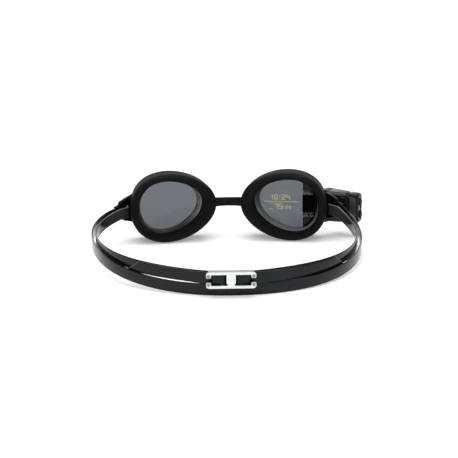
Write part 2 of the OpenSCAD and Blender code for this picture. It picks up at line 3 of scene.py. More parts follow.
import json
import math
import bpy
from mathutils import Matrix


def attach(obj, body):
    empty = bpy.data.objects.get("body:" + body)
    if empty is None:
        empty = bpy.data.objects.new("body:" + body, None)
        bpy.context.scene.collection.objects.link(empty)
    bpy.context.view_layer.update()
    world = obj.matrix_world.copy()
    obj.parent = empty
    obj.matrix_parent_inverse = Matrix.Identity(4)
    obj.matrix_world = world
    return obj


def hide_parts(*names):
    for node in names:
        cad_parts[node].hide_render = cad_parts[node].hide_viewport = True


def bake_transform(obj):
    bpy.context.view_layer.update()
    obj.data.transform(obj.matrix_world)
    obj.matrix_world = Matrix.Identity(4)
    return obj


bl_info = {
    "name": "Display Swim Goggles",
    "version": (1, 0, 0),
    "blender": (4, 5, 0),
    "location": "View3D > Sidebar > Goggles",
    "description": "Builds swim goggles with soft seals, a split strap, a clear clip and a display pod",
    "category": "Add Mesh",
}

import bmesh
import bpy
from bpy.props import FloatProperty, FloatVectorProperty, PointerProperty, StringProperty
from mathutils import Quaternion, Vector

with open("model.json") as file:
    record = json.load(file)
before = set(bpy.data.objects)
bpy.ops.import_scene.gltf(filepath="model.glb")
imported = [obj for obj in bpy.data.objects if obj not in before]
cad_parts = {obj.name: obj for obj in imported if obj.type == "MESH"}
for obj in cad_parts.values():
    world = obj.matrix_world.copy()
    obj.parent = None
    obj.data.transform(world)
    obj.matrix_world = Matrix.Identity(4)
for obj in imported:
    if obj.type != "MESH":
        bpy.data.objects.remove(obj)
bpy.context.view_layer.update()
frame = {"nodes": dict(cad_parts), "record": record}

LEFT = -1
RIGHT = 1
CUP_BODY = {LEFT: "left_cup", RIGHT: "right_cup"}
SIDE_NAME = {LEFT: "left", RIGHT: "right"}
ROOT_BODY = "bridge_and_strap"


def joint_place(name):
    """Point on a joint's axis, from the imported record."""
    for joint in frame["record"]["behaviour"]["joints"]:
        if joint["name"] == name:
            return Vector(joint["pos_m"])
    raise RuntimeError("no joint named " + name)


def length(name, description, default):
    """A size in metres."""
    return FloatProperty(name=name, description=description, default=default, unit="LENGTH", precision=5)


def angle(name, description, degrees):
    """An angle, given in degrees."""
    return FloatProperty(name=name, description=description, default=math.radians(degrees), subtype="ANGLE")


def share(name, description, default):
    """A plain number."""
    return FloatProperty(name=name, description=description, default=default, precision=3)


def colour(name, description, red, green, blue):
    """A linear colour."""
    return FloatVectorProperty(name=name, description=description, default=(red, green, blue), size=3,
                               subtype="COLOR", min=0.0, max=1.0)


class GoggleSizes(bpy.types.PropertyGroup):
    """Sizes of the goggles."""

    eye_spacing: length("Eye spacing", "Distance between the cups' centres", 0.0756)
    cup_width: length("Cup width", "Width of a cup across its seal", 0.0582)
    cup_height: length("Cup height", "Height of a cup across its seal", 0.047)
    egg_bulge: length("Egg bulge", "Swell of the cup's outline towards the temple", 0.0038)
    cup_lean: length("Cup lean", "Lean of the cup's foot towards the temple", 0.0014)
    brow_lift: length("Brow lift", "Rise of the outline's ends above its middle", 0.0012)
    nose_extra: length("Nose extra", "Extra seal width at the nose", 0.003)
    wrap_angle: angle("Wrap angle", "Turn of each cup towards the side of the head", 7)
    frame_depth: length("Frame depth", "Depth of the rigid frame", 0.009)
    frame_inset: length("Frame inset", "Gap from the seal's outline to the frame", 0.0008)
    frame_lip: length("Frame lip", "Width of the frame's front lip", 0.0024)
    frame_ring: length("Frame ring", "Width of the frame where it meets the seal", 0.0048)
    window_step: length("Window step", "Width of the bevel from the seal to the window", 0.0012)
    ledge_depth: length("Ledge depth", "Depth of the lens ledge", 0.0028)
    gasket_width: length("Seal width", "Width of the seal's cushion", 0.0053)
    gasket_depth: length("Seal depth", "Depth of the seal behind the frame", 0.011)
    lens_thick: length("Lens thickness", "Thickness of a lens", 0.0022)
    lens_crown: length("Lens crown", "Rise of a lens at its middle", 0.0022)
    barrel_radius: length("Barrel radius", "Radius of the bridge's barrels", 0.002)
    barrel_length: length("Barrel length", "Length of the bridge's barrels", 0.0066)
    socket_radius: length("Socket radius", "Outer radius of the barrel sockets", 0.00345)
    bridge_height: length("Bridge height", "Height of the bar at its middle", 0.0058)
    bridge_thick: length("Bridge thickness", "Thickness of the bar", 0.0024)
    bridge_bow: length("Bridge bow", "How far the bar bows forward", 0.002)
    strap_width: length("Strap width", "Width of the strap", 0.0074)
    strap_thick: length("Strap thickness", "Thickness of the strap", 0.0012)
    strap_depth: length("Strap depth", "Distance from the cups to the back of the loop", 0.128)
    left_swing: length("Left swing", "How far out the loop's left side swings", 0.0845)
    right_swing: length("Right swing", "How far out the loop's right side swings", 0.0915)
    strap_height: length("Strap height", "Height of the strap at the tongues", 0.0203)
    strap_angle: angle("Strap angle", "Angle at which the strap leaves the tongues", 45)
    tongue_thick: length("Tongue thickness", "Thickness of the strap tongues", 0.0024)
    tongue_length: length("Tongue length", "Length of a tongue past its slot", 0.006)
    clip_length: length("Clip length", "Length of the clip", 0.031)
    clip_height: length("Clip height", "Height of the clip", 0.0106)
    clip_plate: length("Clip plate", "Thickness of the clip's plate", 0.0016)
    clip_bar: length("Clip bar", "Thickness of the clip's fold bars", 0.0016)
    clip_post: length("Clip post", "Width of the clip's post", 0.0044)
    clip_window: length("Clip window", "Height of the clip's windows", 0.0068)
    clip_hook: length("Clip hook", "Width of the clip's split hooks", 0.0032)
    clip_shift: length("Clip shift", "Clip's place beside the middle", 0.001)
    pod_length: length("Pod length", "Length of the pod", 0.0248)
    pod_height: length("Pod height", "Height of the pod", 0.0204)
    pod_deep: length("Pod depth", "Depth of the pod at the frame", 0.015)
    pod_slim: length("Pod end depth", "Depth of the pod at its end", 0.0094)
    pod_round: length("Pod rounding", "Rounding of the pod's edges", 0.0026)
    pod_sweep: angle("Pod sweep", "Turn of the pod from the cup", 17)
    cap_length: length("Cap length", "Length of the pod's end cap", 0.0068)
    groove_width: length("Groove width", "Width of the groove before the cap", 0.0018)
    button_radius: length("Button radius", "Radius of a push button", 0.0024)
    button_proud: length("Button height", "How far a button stands out", 0.0007)
    button_pitch: length("Button pitch", "Distance between the buttons", 0.0086)
    left_straight: length("Left straight", "Straight start of the loop's left side", 0.045)
    right_straight: length("Right straight", "Straight start of the loop's right side", 0.032)
    left_tail: share("Left tail", "Where the left tail ends along the band", 0.69)
    right_tail: share("Right tail", "Where the right tail ends along the band", 0.615)


class GoggleColours(bpy.types.PropertyGroup):
    """Colours of the goggles."""

    seal: colour("Seal", "Matte silicone of the eye seals", 0.0065, 0.0065, 0.0068)
    strap: colour("Strap", "Glossy silicone of the strap", 0.0055, 0.0063, 0.0075)
    # Painted sheen: the strap's faces near the cups are painted paler where they catch light
    strap_pale: colour("Strap front", "Silicone of the strap near the cups", 0.036, 0.038, 0.041)
    # Painted highlight: the strap's upper edges near the cups, the side turns and the tails' cut ends
    strap_edge: colour("Strap edge", "Upper edge of the strap near the cups", 0.2, 0.205, 0.21)
    frame_black: colour("Frame", "Glossy black of the frames and pod", 0.004, 0.004, 0.0043)
    # Window walls: the paler tone is painted light, on the left wall towards the nose and on the right wall
    # towards the bottom
    smoke: colour("Window wall", "Smoked plastic of the frames' inner walls", 0.2, 0.206, 0.215)
    # Painted shade of the window walls away from that side
    smoke_shaded: colour("Window wall, far", "Smoked plastic further off", 0.04, 0.0415, 0.044)
    # Painted highlight: the right lens bead is painted paler towards the temple
    bead: colour("Bead", "Clear rim of the right lens at the temple", 0.3, 0.31, 0.32)
    lens: colour("Lens", "Tint of the smoked lenses", 0.126, 0.135, 0.143)
    guide: colour("Light guide", "Tint of the light guide plate", 0.87, 0.89, 0.92)
    clip: colour("Clip", "Clear plastic of the clip", 0.97, 0.975, 0.98)
    panel: colour("Cap panel", "Satin grey of the end cap's panel", 0.035, 0.036, 0.039)
    glow: colour("Display", "Glow of the numbers", 0.6, 0.58, 0.17)
    floor: colour("Floor", "Pale floor and backdrop", 0.93, 0.93, 0.93)


def sizes():
    """The scene's goggle sizes."""
    return bpy.context.scene.goggle_sizes


def colours():
    """The scene's goggle colours."""
    return bpy.context.scene.goggle_colours


# Finishes


class Finish:
    """A node material with one surface shader and noise on object coordinates."""

    def __init__(self, name, **sockets):
        self.material = bpy.data.materials.new(name)
        self.material.use_nodes = True
        self.tree = self.material.node_tree
        self.shader = self.tree.nodes["Principled BSDF"]
        self.place = self.tree.nodes.new("ShaderNodeTexCoord").outputs["Object"]
        for socket, value in sockets.items():
            self.shader.inputs[socket.replace("_", " ")].default_value = value

    def node(self, kind, **sockets):
        """A node with some of its sockets set."""
        made = self.tree.nodes.new(kind)
        for socket, value in sockets.items():
            made.inputs[socket.replace("_", " ")].default_value = value
        return made

    def link(self, source, target):
        """Joins two sockets."""
        self.tree.links.new(source, target)

    def paint(self, source):
        """Gives the surface a colour that changes over it."""
        self.link(source, self.shader.inputs["Base Color"])
        return self

    def noise(self, scale, detail=4.0, roughness=0.55):
        """Fine unevenness between 0 and 1."""
        made = self.node("ShaderNodeTexNoise", Scale=scale, Detail=detail, Roughness=roughness)
        self.link(self.place, made.inputs["Vector"])
        return made.outputs["Fac"]

    def parts(self, source):
        """The X, Y and Z of a vector."""
        made = self.node("ShaderNodeSeparateXYZ")
        self.link(source, made.inputs["Vector"])
        return made.outputs

    def facing(self):
        """The X, Y and Z of the surface's own direction."""
        return self.parts(self.node("ShaderNodeNewGeometry").outputs["Normal"])

    def reckon(self, operation, *sources):
        """One step of arithmetic on one or two numbers."""
        made = self.node("ShaderNodeMath")
        made.operation = operation
        for source, target in zip(sources, made.inputs):
            self.link(source, target)
        return made.outputs[0]

    def span(self, source, low, high, start=0.0, end=1.0):
        """A number that runs from low to high as the source runs from start to end."""
        made = self.node("ShaderNodeMapRange", From_Min=start, From_Max=end, To_Min=low, To_Max=high)
        self.link(source, made.inputs["Value"])
        return made.outputs["Result"]

    def ramp(self, source, low, high, start=0.3, end=0.7):
        """A colour that runs from low to high as the source runs from start to end."""
        made = self.node("ShaderNodeValToRGB")
        for element, position, tint in zip(made.color_ramp.elements, (start, end), (low, high)):
            element.position = position
            element.color = (*tint, 1.0)
        self.link(source, made.inputs["Fac"])
        return made.outputs["Color"]

    def drift(self, axis, start, end, low, high):
        """Colour that runs from low to high along one axis, the same way on both sides of the middle."""
        source = self.parts(self.place)[axis]
        if axis == "X":
            source = self.reckon("ABSOLUTE", source)
        return self.paint(self.ramp(self.span(source, 0.0, 1.0, start, end), low, high, 0.0, 1.0))

    def mottle(self, tint, scale, spread):
        """Slightly uneven colour."""
        low = tuple(c * (1.0 - spread) for c in tint)
        high = tuple(min(1.0, c * (1.0 + spread)) for c in tint)
        return self.paint(self.ramp(self.noise(scale), low, high))

    def uneven_gloss(self, low, high, scale):
        """Roughness that changes over the surface, as handling leaves it."""
        self.link(self.span(self.noise(scale, detail=3.0), low, high), self.shader.inputs["Roughness"])
        return self

    def grain(self, scale, depth, strength):
        """Fine moulded grain."""
        bump = self.node("ShaderNodeBump", Strength=strength, Distance=depth)
        self.link(self.noise(scale, detail=5.0, roughness=0.6), bump.inputs["Height"])
        self.link(bump.outputs["Normal"], self.shader.inputs["Normal"])
        return self


# Name of the mark on the tails' cut ends, which are given a painted highlight
TAIL_HIGHLIGHT_MARK = "tail_end"
# Places, in metres, between which a finish changes: where the strap's painted sheen and painted highlights
# start and end, where the window walls go from painted light to painted shade, the clip's painted shade
# spots and the right bead's painted highlight
OUTER_BAND_AT = 0.1273
INNER_BAND_AT = 0.1255
TURN_FRONT_AT = 0.019
TURN_REAR_AT = 0.003
TURN_HIGHLIGHT_FROM = 0.072
TURN_HIGHLIGHT_FULL = 0.087
STRAP_SHEEN_FROM = 0.015
STRAP_SHEEN_FULL = 0.05
SMOKE_PAINTED_LIGHT = (("left_smoke", "X", 0.019, 0.031), ("right_smoke", "Z", 0.009, 0.027))
CLIP_SPOT_HIGH = 0.0027
CLIP_SPOT_CORE = 0.0008
CLIP_SPOT_EDGE = 0.0017
BEAD_HIGHLIGHT_FROM = 0.05
BEAD_HIGHLIGHT_FULL = 0.057
# Shares of the upward or rearward direction between which a surface counts as an edge: the strap's upper
# edges get a painted highlight, the clip's sideways edges a painted shade
STRAP_SHEEN_UP = 0.45
STRAP_HIGHLIGHT_UP = 0.9
CLIP_EDGE_REAR = 0.5
CLIP_FACE_REAR = 0.88
# Tones of the strap, on a scale from black at 0 through a painted sheen to a painted highlight at 1
STRAP_SHEEN_STOP = 0.5
STRAP_TURN_HIGHLIGHT = 0.95
# How far a hook's painted shade spot counts as a face, and the painted shade of the clip's edges as a share
# of its white
CLIP_SPOT_SHADE = 0.5
CLIP_EDGE_SHADE = 0.3
# Share of the full glow at the dimmest places of the numbers
GLOW_LOW = 0.75

# Colours of the pieces inside, and of small dark parts
RUBBER = (0.005, 0.005, 0.005)
ENGINE = (0.003, 0.003, 0.0035)
ENGINE_MATTE = (0.0008, 0.0008, 0.0008)
PRISM_DARK = (0.004, 0.005, 0.007)
# Painted highlight: pale glints on the prism's facets
PRISM_PAINTED_GLINT = (0.3, 0.31, 0.34)
RESIN = (0.012, 0.012, 0.014)
FOIL = (0.55, 0.57, 0.6)
GOLD = (0.72, 0.5, 0.2)
STEEL = (0.5, 0.51, 0.53)
FILM = (0.42, 0.17, 0.04)
SILICON = (0.03, 0.05, 0.09)
BOARD = (0.012, 0.09, 0.035, 1.0)
BOARD_PALE = (0.016, 0.11, 0.042, 1.0)
TRACK = (0.05, 0.22, 0.09, 1.0)
GLOW_BASE = (0.01, 0.01, 0.005, 1.0)


def gloss(level, **more):
    """Shader values of a plain surface, by how strongly it shines."""
    return {"Specular_IOR_Level": level, **more}


def clear(bend):
    """Shader values of a clear solid, by how strongly it bends light."""
    return {"Transmission_Weight": 1.0, "IOR": bend}


def plain_finishes(tint):
    """Rows of name, material, shader values, colour, mottling, roughness and grain."""
    black = tint.frame_black
    metal = {"Metallic": 1.0}
    return (
        ("seal", "seal_silicone", gloss(0.05), tint.seal, (160, 0.25), (0.5, 0.64, 90), (2600, 0.0001, 0.2)),
        ("frame", "frame_gloss", gloss(0.24, Coat_Weight=0.1, Coat_Roughness=0.03), black,
         (90, 0.3), (0.06, 0.14, 75), (900, 0.00003, 0.06)),
        ("arm", "arm_gloss", gloss(0.12), black, (90, 0.3), (0.08, 0.16, 75), (900, 0.00003, 0.06)),
        ("ring", "frame_satin", gloss(0.06), tint.seal, (120, 0.3), (0.45, 0.6, 90), (2600, 0.0001, 0.15)),
        ("bridge", "bridge_satin", gloss(0.12), black, (200, 0.3), (0.3, 0.42, 140), (2400, 0.00006, 0.15)),
        ("cap", "cap_satin", gloss(0.14), black, (160, 0.3), (0.18, 0.28, 120), (2400, 0.00006, 0.1)),
        ("panel", "panel_satin", gloss(0.4), tint.panel,
         (400, 0.18), (0.28, 0.38, 200), (3600, 0.0001, 0.3)),
        ("rubber", "groove_rubber", gloss(0.3), RUBBER, (300, 0.3), (0.6, 0.75, 200), (3000, 0.0001, 0.3)),
        ("lens", "smoked_lens", clear(1.15), tint.lens, (25, 0.03), (0.0, 0.03, 60), None),
        ("guide", "light_guide", clear(1.12), tint.guide, (30, 0.02), (0.0, 0.02, 80), None),
        ("engine", "projector_gloss", gloss(0.15), ENGINE, (220, 0.4), (0.08, 0.16, 160), None),
        ("cover", "projector_matte", gloss(0.02), ENGINE_MATTE,
         (300, 0.3), (0.5, 0.65, 200), (3200, 0.00008, 0.3)),
        ("chip", "chip_resin", gloss(0.4), RESIN, (500, 0.3), (0.4, 0.55, 400), (4000, 0.0001, 0.3)),
        ("foil", "cell_foil", metal, FOIL, (300, 0.1), (0.25, 0.4, 250), (1200, 0.0001, 0.3)),
        ("gold", "gold_contact", metal, GOLD, (600, 0.08), (0.15, 0.26, 500), None),
        ("steel", "switch_steel", metal, STEEL, (500, 0.1), (0.25, 0.38, 500), None),
        ("ribbon", "ribbon_film", gloss(0.5), FILM, (300, 0.15), (0.25, 0.35, 300), None),
        ("silicon", "display_chip", gloss(0.7), SILICON, (700, 0.4), (0.06, 0.14, 500), None),
    )


def make_finishes():
    """Every finish of the goggles, by name."""
    tint = colours()
    made = {"strap": strap_finish(tint), "clip": clip_finish(tint), "prism": prism_finish(),
            "board": board_finish(), "glow": glow_finish(tint.glow)}
    for name, label, values, base, mottling, roughness, moulding in plain_finishes(tint):
        made[name] = Finish(label, **values).mottle(base, *mottling).uneven_gloss(*roughness)
        if moulding:
            made[name].grain(*moulding)
    # Window walls painted paler on one side by painted light, and darker on the other by painted shade
    for name, axis, lit_at, shaded_at in SMOKE_PAINTED_LIGHT:
        made[name] = Finish(name, **gloss(0.5, Coat_Weight=0.3, Coat_Roughness=0.05))
        made[name].drift(axis, lit_at, shaded_at, tint.smoke, tint.smoke_shaded)
        made[name].uneven_gloss(low=0.16, high=0.26, scale=110)
    # Right bead: frame black at the nose side, rising to a painted highlight towards the temple
    made["bead"] = Finish("bead_gloss", **gloss(0.3))
    made["bead"].drift("X", BEAD_HIGHLIGHT_FROM, BEAD_HIGHLIGHT_FULL, tint.frame_black, tint.bead)
    made["bead"].uneven_gloss(low=0.1, high=0.2, scale=110)
    return {name: finish.material for name, finish in made.items()}


def strap_finish(tint):
    """Black silicone with painted light: a painted sheen on the faces near the cups, painted highlights on
    the upper edges there, behind the side turns and on the tails' cut ends.
    """
    made = Finish("strap_silicone", **gloss(0.22))
    place = made.parts(made.place)
    across = made.reckon("ABSOLUTE", place["X"])
    # Painted sheen near the cups, rising to a painted highlight on upward-facing edges, on the inner band
    # only
    near = made.span(place["Y"], 0.0, 1.0, STRAP_SHEEN_FROM, STRAP_SHEEN_FULL)
    upper = made.span(made.facing()["Z"], STRAP_SHEEN_STOP, 1.0, STRAP_SHEEN_UP, STRAP_HIGHLIGHT_UP)
    inner = made.span(made.reckon("ADD", across, place["Y"]), 0.0, 1.0, OUTER_BAND_AT, INNER_BAND_AT)
    front = made.reckon("MULTIPLY", made.reckon("MULTIPLY", near, upper), inner)
    # Painted highlight behind the side turns
    turn = made.span(across, 0.0, STRAP_TURN_HIGHLIGHT, TURN_HIGHLIGHT_FROM, TURN_HIGHLIGHT_FULL)
    rear = made.span(place["Y"], 0.0, 1.0, TURN_FRONT_AT, TURN_REAR_AT)
    # Painted highlight on the tails' cut ends
    ends = made.node("ShaderNodeAttribute")
    ends.attribute_name = TAIL_HIGHLIGHT_MARK
    pale = made.reckon("MAXIMUM", front, made.reckon("MULTIPLY", turn, rear))
    tone = made.node("ShaderNodeValToRGB")
    tone.color_ramp.elements[0].color = (*tint.strap, 1.0)
    tone.color_ramp.elements[1].color = (*tint.strap_edge, 1.0)
    tone.color_ramp.elements.new(STRAP_SHEEN_STOP).color = (*tint.strap_pale, 1.0)
    made.link(made.reckon("MAXIMUM", pale, ends.outputs["Fac"]), tone.inputs["Fac"])
    made.paint(tone.outputs["Color"]).uneven_gloss(low=0.1, high=0.18, scale=60)
    return made.grain(scale=900, depth=0.00004, strength=0.06)


def clip_finish(tint):
    """Clear plastic with white faces, painted shade on the edges that turn sideways and a painted shade spot
    in each hook, standing for the strap seen through.
    """
    s = sizes()
    made = Finish("clip_plastic", Transmission_Weight=0.05, IOR=1.45)
    high = clip_places()[-1]
    middle = made.node("ShaderNodeMapping", Location=(-s.clip_shift, 0.0, -high), Scale=(1.0, 0.0, 1.0))
    made.link(made.place, middle.inputs["Vector"])
    folded = made.node("ShaderNodeVectorMath")
    folded.operation = "ABSOLUTE"
    made.link(middle.outputs["Vector"], folded.inputs[0])
    away = made.node("ShaderNodeVectorMath")
    away.operation = "DISTANCE"
    away.inputs[1].default_value = ((s.clip_length - s.clip_hook) / 2, 0.0, CLIP_SPOT_HIGH)
    made.link(folded.outputs["Vector"], away.inputs[0])
    # Painted shade: a grey spot in each hook stands for the dark strap seen through
    shade_spots = made.span(away.outputs["Value"], CLIP_SPOT_SHADE, 1.0, CLIP_SPOT_CORE, CLIP_SPOT_EDGE)
    level = made.reckon("MULTIPLY", made.reckon("ABSOLUTE", made.facing()["Y"]), shade_spots)
    # Painted shade: grey on the edges that turn sideways and in the hooks' spots, white on the faces
    grey = tuple(c * CLIP_EDGE_SHADE for c in tint.clip)
    made.paint(made.ramp(level, grey, tint.clip, CLIP_EDGE_REAR, CLIP_FACE_REAR))
    made.uneven_gloss(low=0.06, high=0.14, scale=200)
    return made.grain(scale=1200, depth=0.00005, strength=0.1)


def prism_finish():
    """Dark glassy facets with painted glints, painted highlights spread by noise."""
    made = Finish("projector_prism", **gloss(0.6, Coat_Weight=0.4, Coat_Roughness=0.02))
    facets = made.noise(scale=700, detail=3.0)
    made.paint(made.ramp(facets, PRISM_DARK, PRISM_PAINTED_GLINT, start=0.42, end=0.62))
    return made.uneven_gloss(low=0.05, high=0.18, scale=260)


def board_finish():
    """Green circuit board with paler tracks."""
    made = Finish("circuit_board", **gloss(0.5))
    tracks = made.node("ShaderNodeTexBrick", Color1=BOARD, Color2=BOARD_PALE, Mortar=TRACK, Scale=420,
                       Mortar_Size=0.018, Brick_Width=0.7, Row_Height=0.3)
    made.link(made.place, tracks.inputs["Vector"])
    return made.paint(tracks.outputs["Color"]).uneven_gloss(low=0.28, high=0.4, scale=400)


def glow_finish(tint):
    """Numbers that light up softly."""
    made = Finish("display_glow", Base_Color=GLOW_BASE, Roughness=0.5, Emission_Strength=1.0, **gloss(0.1))
    low = tuple(c * GLOW_LOW for c in tint)
    made.link(made.ramp(made.noise(scale=900), low, tint), made.shader.inputs["Emission Color"])
    return made


FINISH = {}


# Shells: lists of points and faces

# Radius at which a turned solid is closed
NEAR_AXIS = 0.0002
# Share of a side that one corner's rounding may take
ROUND_SHARE = 0.49
# Distances below which points are joined and slivers removed
WELD = 1e-7
SLIVER = 1e-8


def loft(loops, cap_start=True, cap_end=True):
    """A skin through loops of equal length."""
    count = len(loops[0])
    points = [point for loop in loops for point in loop]
    faces = []
    for row in range(len(loops) - 1):
        for i in range(count):
            k = (i + 1) % count
            a = row * count
            b = a + count
            faces.append((a + i, a + k, b + k, b + i))
    if cap_start:
        faces.append(tuple(reversed(range(count))))
    if cap_end:
        last = (len(loops) - 1) * count
        faces.append(tuple(range(last, last + count)))
    return points, faces


def closed_loft(loops):
    """A skin through loops whose last one joins the first."""
    points, faces = loft(loops, False, False)
    count = len(loops[0])
    last = (len(loops) - 1) * count
    for i in range(count):
        k = (i + 1) % count
        faces.append((last + i, last + k, k, i))
    return points, faces


def moved(shell, place):
    """A shell with each point put in its place."""
    return [place(*point) for point in shell[0]], shell[1]


def rounded(corners, steps=4):
    """A closed outline from (x, y, radius) corners, each eased over its radius."""
    outline = []
    count = len(corners)
    for i, (x, y, radius) in enumerate(corners):
        here = Vector((x, y))
        if radius == 0:
            outline.append((x, y))
            continue
        back = Vector(corners[i - 1][:2]) - here
        on = Vector(corners[(i + 1) % count][:2]) - here
        start = here + back.normalized() * min(radius, back.length * ROUND_SHARE)
        end = here + on.normalized() * min(radius, on.length * ROUND_SHARE)
        for step in range(steps + 1):
            t = step / steps
            point = start * (1 - t) ** 2 + here * 2 * t * (1 - t) + end * t * t
            outline.append((point.x, point.y))
    return outline


def block(start, end, low, high, start_round, end_round, steps=4):
    """A rounded rectangle, with its own rounding at its start and at its end."""
    return rounded([(start, low, start_round), (end, low, end_round), (end, high, end_round),
                    (start, high, start_round)], steps)


def flat_solid(outline, holes, thick, bevel):
    """A flat plate with bevelled edges, centred on its plane, from outlines."""
    data = bpy.data.curves.new("flat_outline", "CURVE")
    data.dimensions = "2D"
    data.fill_mode = "BOTH"
    data.extrude = thick / 2 - bevel
    data.bevel_depth = bevel
    data.bevel_resolution = 2
    data.offset = -bevel
    for points in [outline, *holes]:
        spline = data.splines.new("POLY")
        spline.points.add(len(points) - 1)
        for target, point in zip(spline.points, points):
            target.co = (point[0], point[1], 0.0, 1.0)
        spline.use_cyclic_u = True
    return shell_of(data)


def shell_of(data):
    """Points and faces of a curve, which is then removed."""
    helper = bpy.data.objects.new(data.name, data)
    bpy.context.scene.collection.objects.link(helper)
    mesh = bpy.data.meshes.new_from_object(helper.evaluated_get(bpy.context.evaluated_depsgraph_get()))
    points = [tuple(vertex.co) for vertex in mesh.vertices]
    faces = [tuple(face.vertices) for face in mesh.polygons]
    bpy.data.objects.remove(helper)
    bpy.data.meshes.remove(mesh)
    return points, faces


def spun(profile, steps=48):
    """A turned solid about z from (radius, height) points, which start and end near the axis."""
    turns = [2 * math.pi * i / steps for i in range(steps)]
    return loft([[(radius * math.cos(a), radius * math.sin(a), height) for a in turns]
                 for radius, height in profile])


def piece(name, shells, finish, nodes=(), body=None, sharp=32.0):
    """One visible piece: closed shells with outward faces, a finish, its CAD nodes and its body."""
    shape = bmesh.new()
    for points, faces in shells:
        corners = [shape.verts.new(point) for point in points]
        for face in faces:
            shape.faces.new([corners[i] for i in face])
    bmesh.ops.remove_doubles(shape, verts=shape.verts, dist=WELD)
    bmesh.ops.dissolve_degenerate(shape, edges=shape.edges, dist=SLIVER)
    bmesh.ops.recalc_face_normals(shape, faces=shape.faces)
    limit = math.radians(sharp)
    for face in shape.faces:
        face.smooth = True
    for edge in shape.edges:
        edge.smooth = len(edge.link_faces) == 2 and edge.calc_face_angle() < limit
    mesh = bpy.data.meshes.new(name)
    shape.to_mesh(mesh)
    shape.free()
    made = bpy.data.objects.new(name, mesh)
    bpy.context.scene.collection.objects.link(made)
    mesh.materials.append(FINISH[finish])
    if nodes:
        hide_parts(*nodes)
    if body:
        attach(made, body)
    return made


# Places shared by the pieces


SIDE_SHARE = 1.36
BROW_SHARE = 0.82


def cup_point(turn, inset):
    """Cup outline at an angle, drawn in by an inset, in the cup's own plane."""
    s = sizes()
    x = (s.cup_width / 2 - SIDE_SHARE * inset) * math.cos(turn) + s.egg_bulge * math.sin(turn) ** 2
    x += s.nose_extra / 2 * inset / s.gasket_width - s.cup_lean * math.sin(turn)
    z = (s.cup_height / 2 - BROW_SHARE * inset) * math.sin(turn) + s.brow_lift * math.cos(turn) ** 2
    return x, z


def from_eye(x, y):
    """A point of the right cup's plane, seen from above and measured from the face line."""
    s = sizes()
    across = s.eye_spacing / 2 + x * math.cos(s.wrap_angle) + y * math.sin(s.wrap_angle)
    forward = y * math.cos(s.wrap_angle) - x * math.sin(s.wrap_angle)
    return across, forward


SOCKET_SET_IN = 0.0011
SOCKET_FORE = 0.004


def socket_x():
    """Place of a barrel's axis across the cup."""
    return cup_point(math.pi, sizes().frame_inset)[0] + SOCKET_SET_IN


def face_y():
    """Place of the cups' plane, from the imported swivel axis."""
    return joint_place("right_swivel").y - from_eye(socket_x(), SOCKET_FORE)[1]


def eye_place(side):
    """Puts a point of a cup's own axes into the goggles."""
    forward = face_y()
    middle = sizes().cup_height / 2

    def place(x, y, z):
        across, ahead = from_eye(x, y)
        return Vector((side * across, forward + ahead, middle + z))

    return place


def cup_ring(section, side, steps=192):
    """A section of (inset, forward) points carried round a cup."""
    place = eye_place(side)
    loops = []
    for i in range(steps):
        turn = 2 * math.pi * i / steps
        loop = []
        for inset, ahead in section:
            x, z = cup_point(turn, inset)
            loop.append(place(x, ahead, z))
        loops.append(loop)
    return closed_loft(loops)


def cup_loops(levels, steps=192):
    """Loops of a cup's outline at (inset, scale, forward) levels, in the cup's own axes."""
    loops = []
    for inset, scale, ahead in levels:
        loop = []
        for i in range(steps):
            x, z = cup_point(2 * math.pi * i / steps, inset)
            loop.append((x * scale, ahead, z * scale))
        loops.append(loop)
    return loops


# Pieces of the cups


def build_seals():
    """Soft seals: a rounded lip that rests on the face and a wall that runs to the frame."""
    s = sizes()
    outer_round = 0.0037
    inner_round = 0.0016
    lip_height = 0.0046
    inner_height = 0.0024
    step_in = 0.0002
    foot_back = 0.0022
    wall_back = 0.0036
    waist_in = 0.0003
    waist_back = 0.0052
    seat_back = 0.0018
    steps = 10
    width = s.gasket_width
    depth = s.gasket_depth
    seat = s.frame_inset + s.frame_ring
    turns = [math.pi / 2 * i / steps for i in range(steps + 1)]
    section = [(seat, 0.0), (s.frame_inset, 0.0), (step_in, -foot_back), (0.0, -wall_back)]
    section += [(outer_round * (1 - math.cos(a)),
                 lip_height - depth - lip_height * math.sin(a)) for a in turns]
    section += [(width - inner_round + inner_round * math.sin(a),
                 inner_height - depth - inner_height * math.cos(a)) for a in turns]
    section += [(width + waist_in, -waist_back), (seat - step_in, -seat_back)]
    for side in (LEFT, RIGHT):
        name = SIDE_NAME[side]
        piece(name + "_seal", [cup_ring(section, side)], "seal", [name + "_gasket"],
              CUP_BODY[side], sharp=40.0)


TONGUE_OUT = 0.0031
TONGUE_FORE = 0.0007
TONGUE_ROOT = 0.0085
TONGUE_HEEL = 0.0014
TONGUE_FOOT = 0.0055
TONGUE_TIP = 0.003
TONGUE_RUN_IN = 0.008
ARM_FOOT = 0.0045
ARM_STEPS = ((0.0098, 0.0045), (0.0098, 0.005), (0.0054, 0.0063), (0.0052, 0.0078), (0.0004, 0.0095))
ARM_ROOT = 0.0116
SLOT_ROOM = 0.001


def tongue_place(side):
    """Puts a point of a strap tongue's own axes, along, outward and up, into the goggles."""
    s = sizes()
    put = eye_place(side)
    turn = s.strap_angle - s.wrap_angle
    root_x = s.cup_width / 2 + TONGUE_OUT
    middle = s.strap_height - s.cup_height / 2

    def place(along, out, up):
        x = root_x + along * math.cos(turn) + out * math.sin(turn)
        y = TONGUE_FORE - along * math.sin(turn) + out * math.cos(turn)
        return put(x, y, middle + up)

    return place


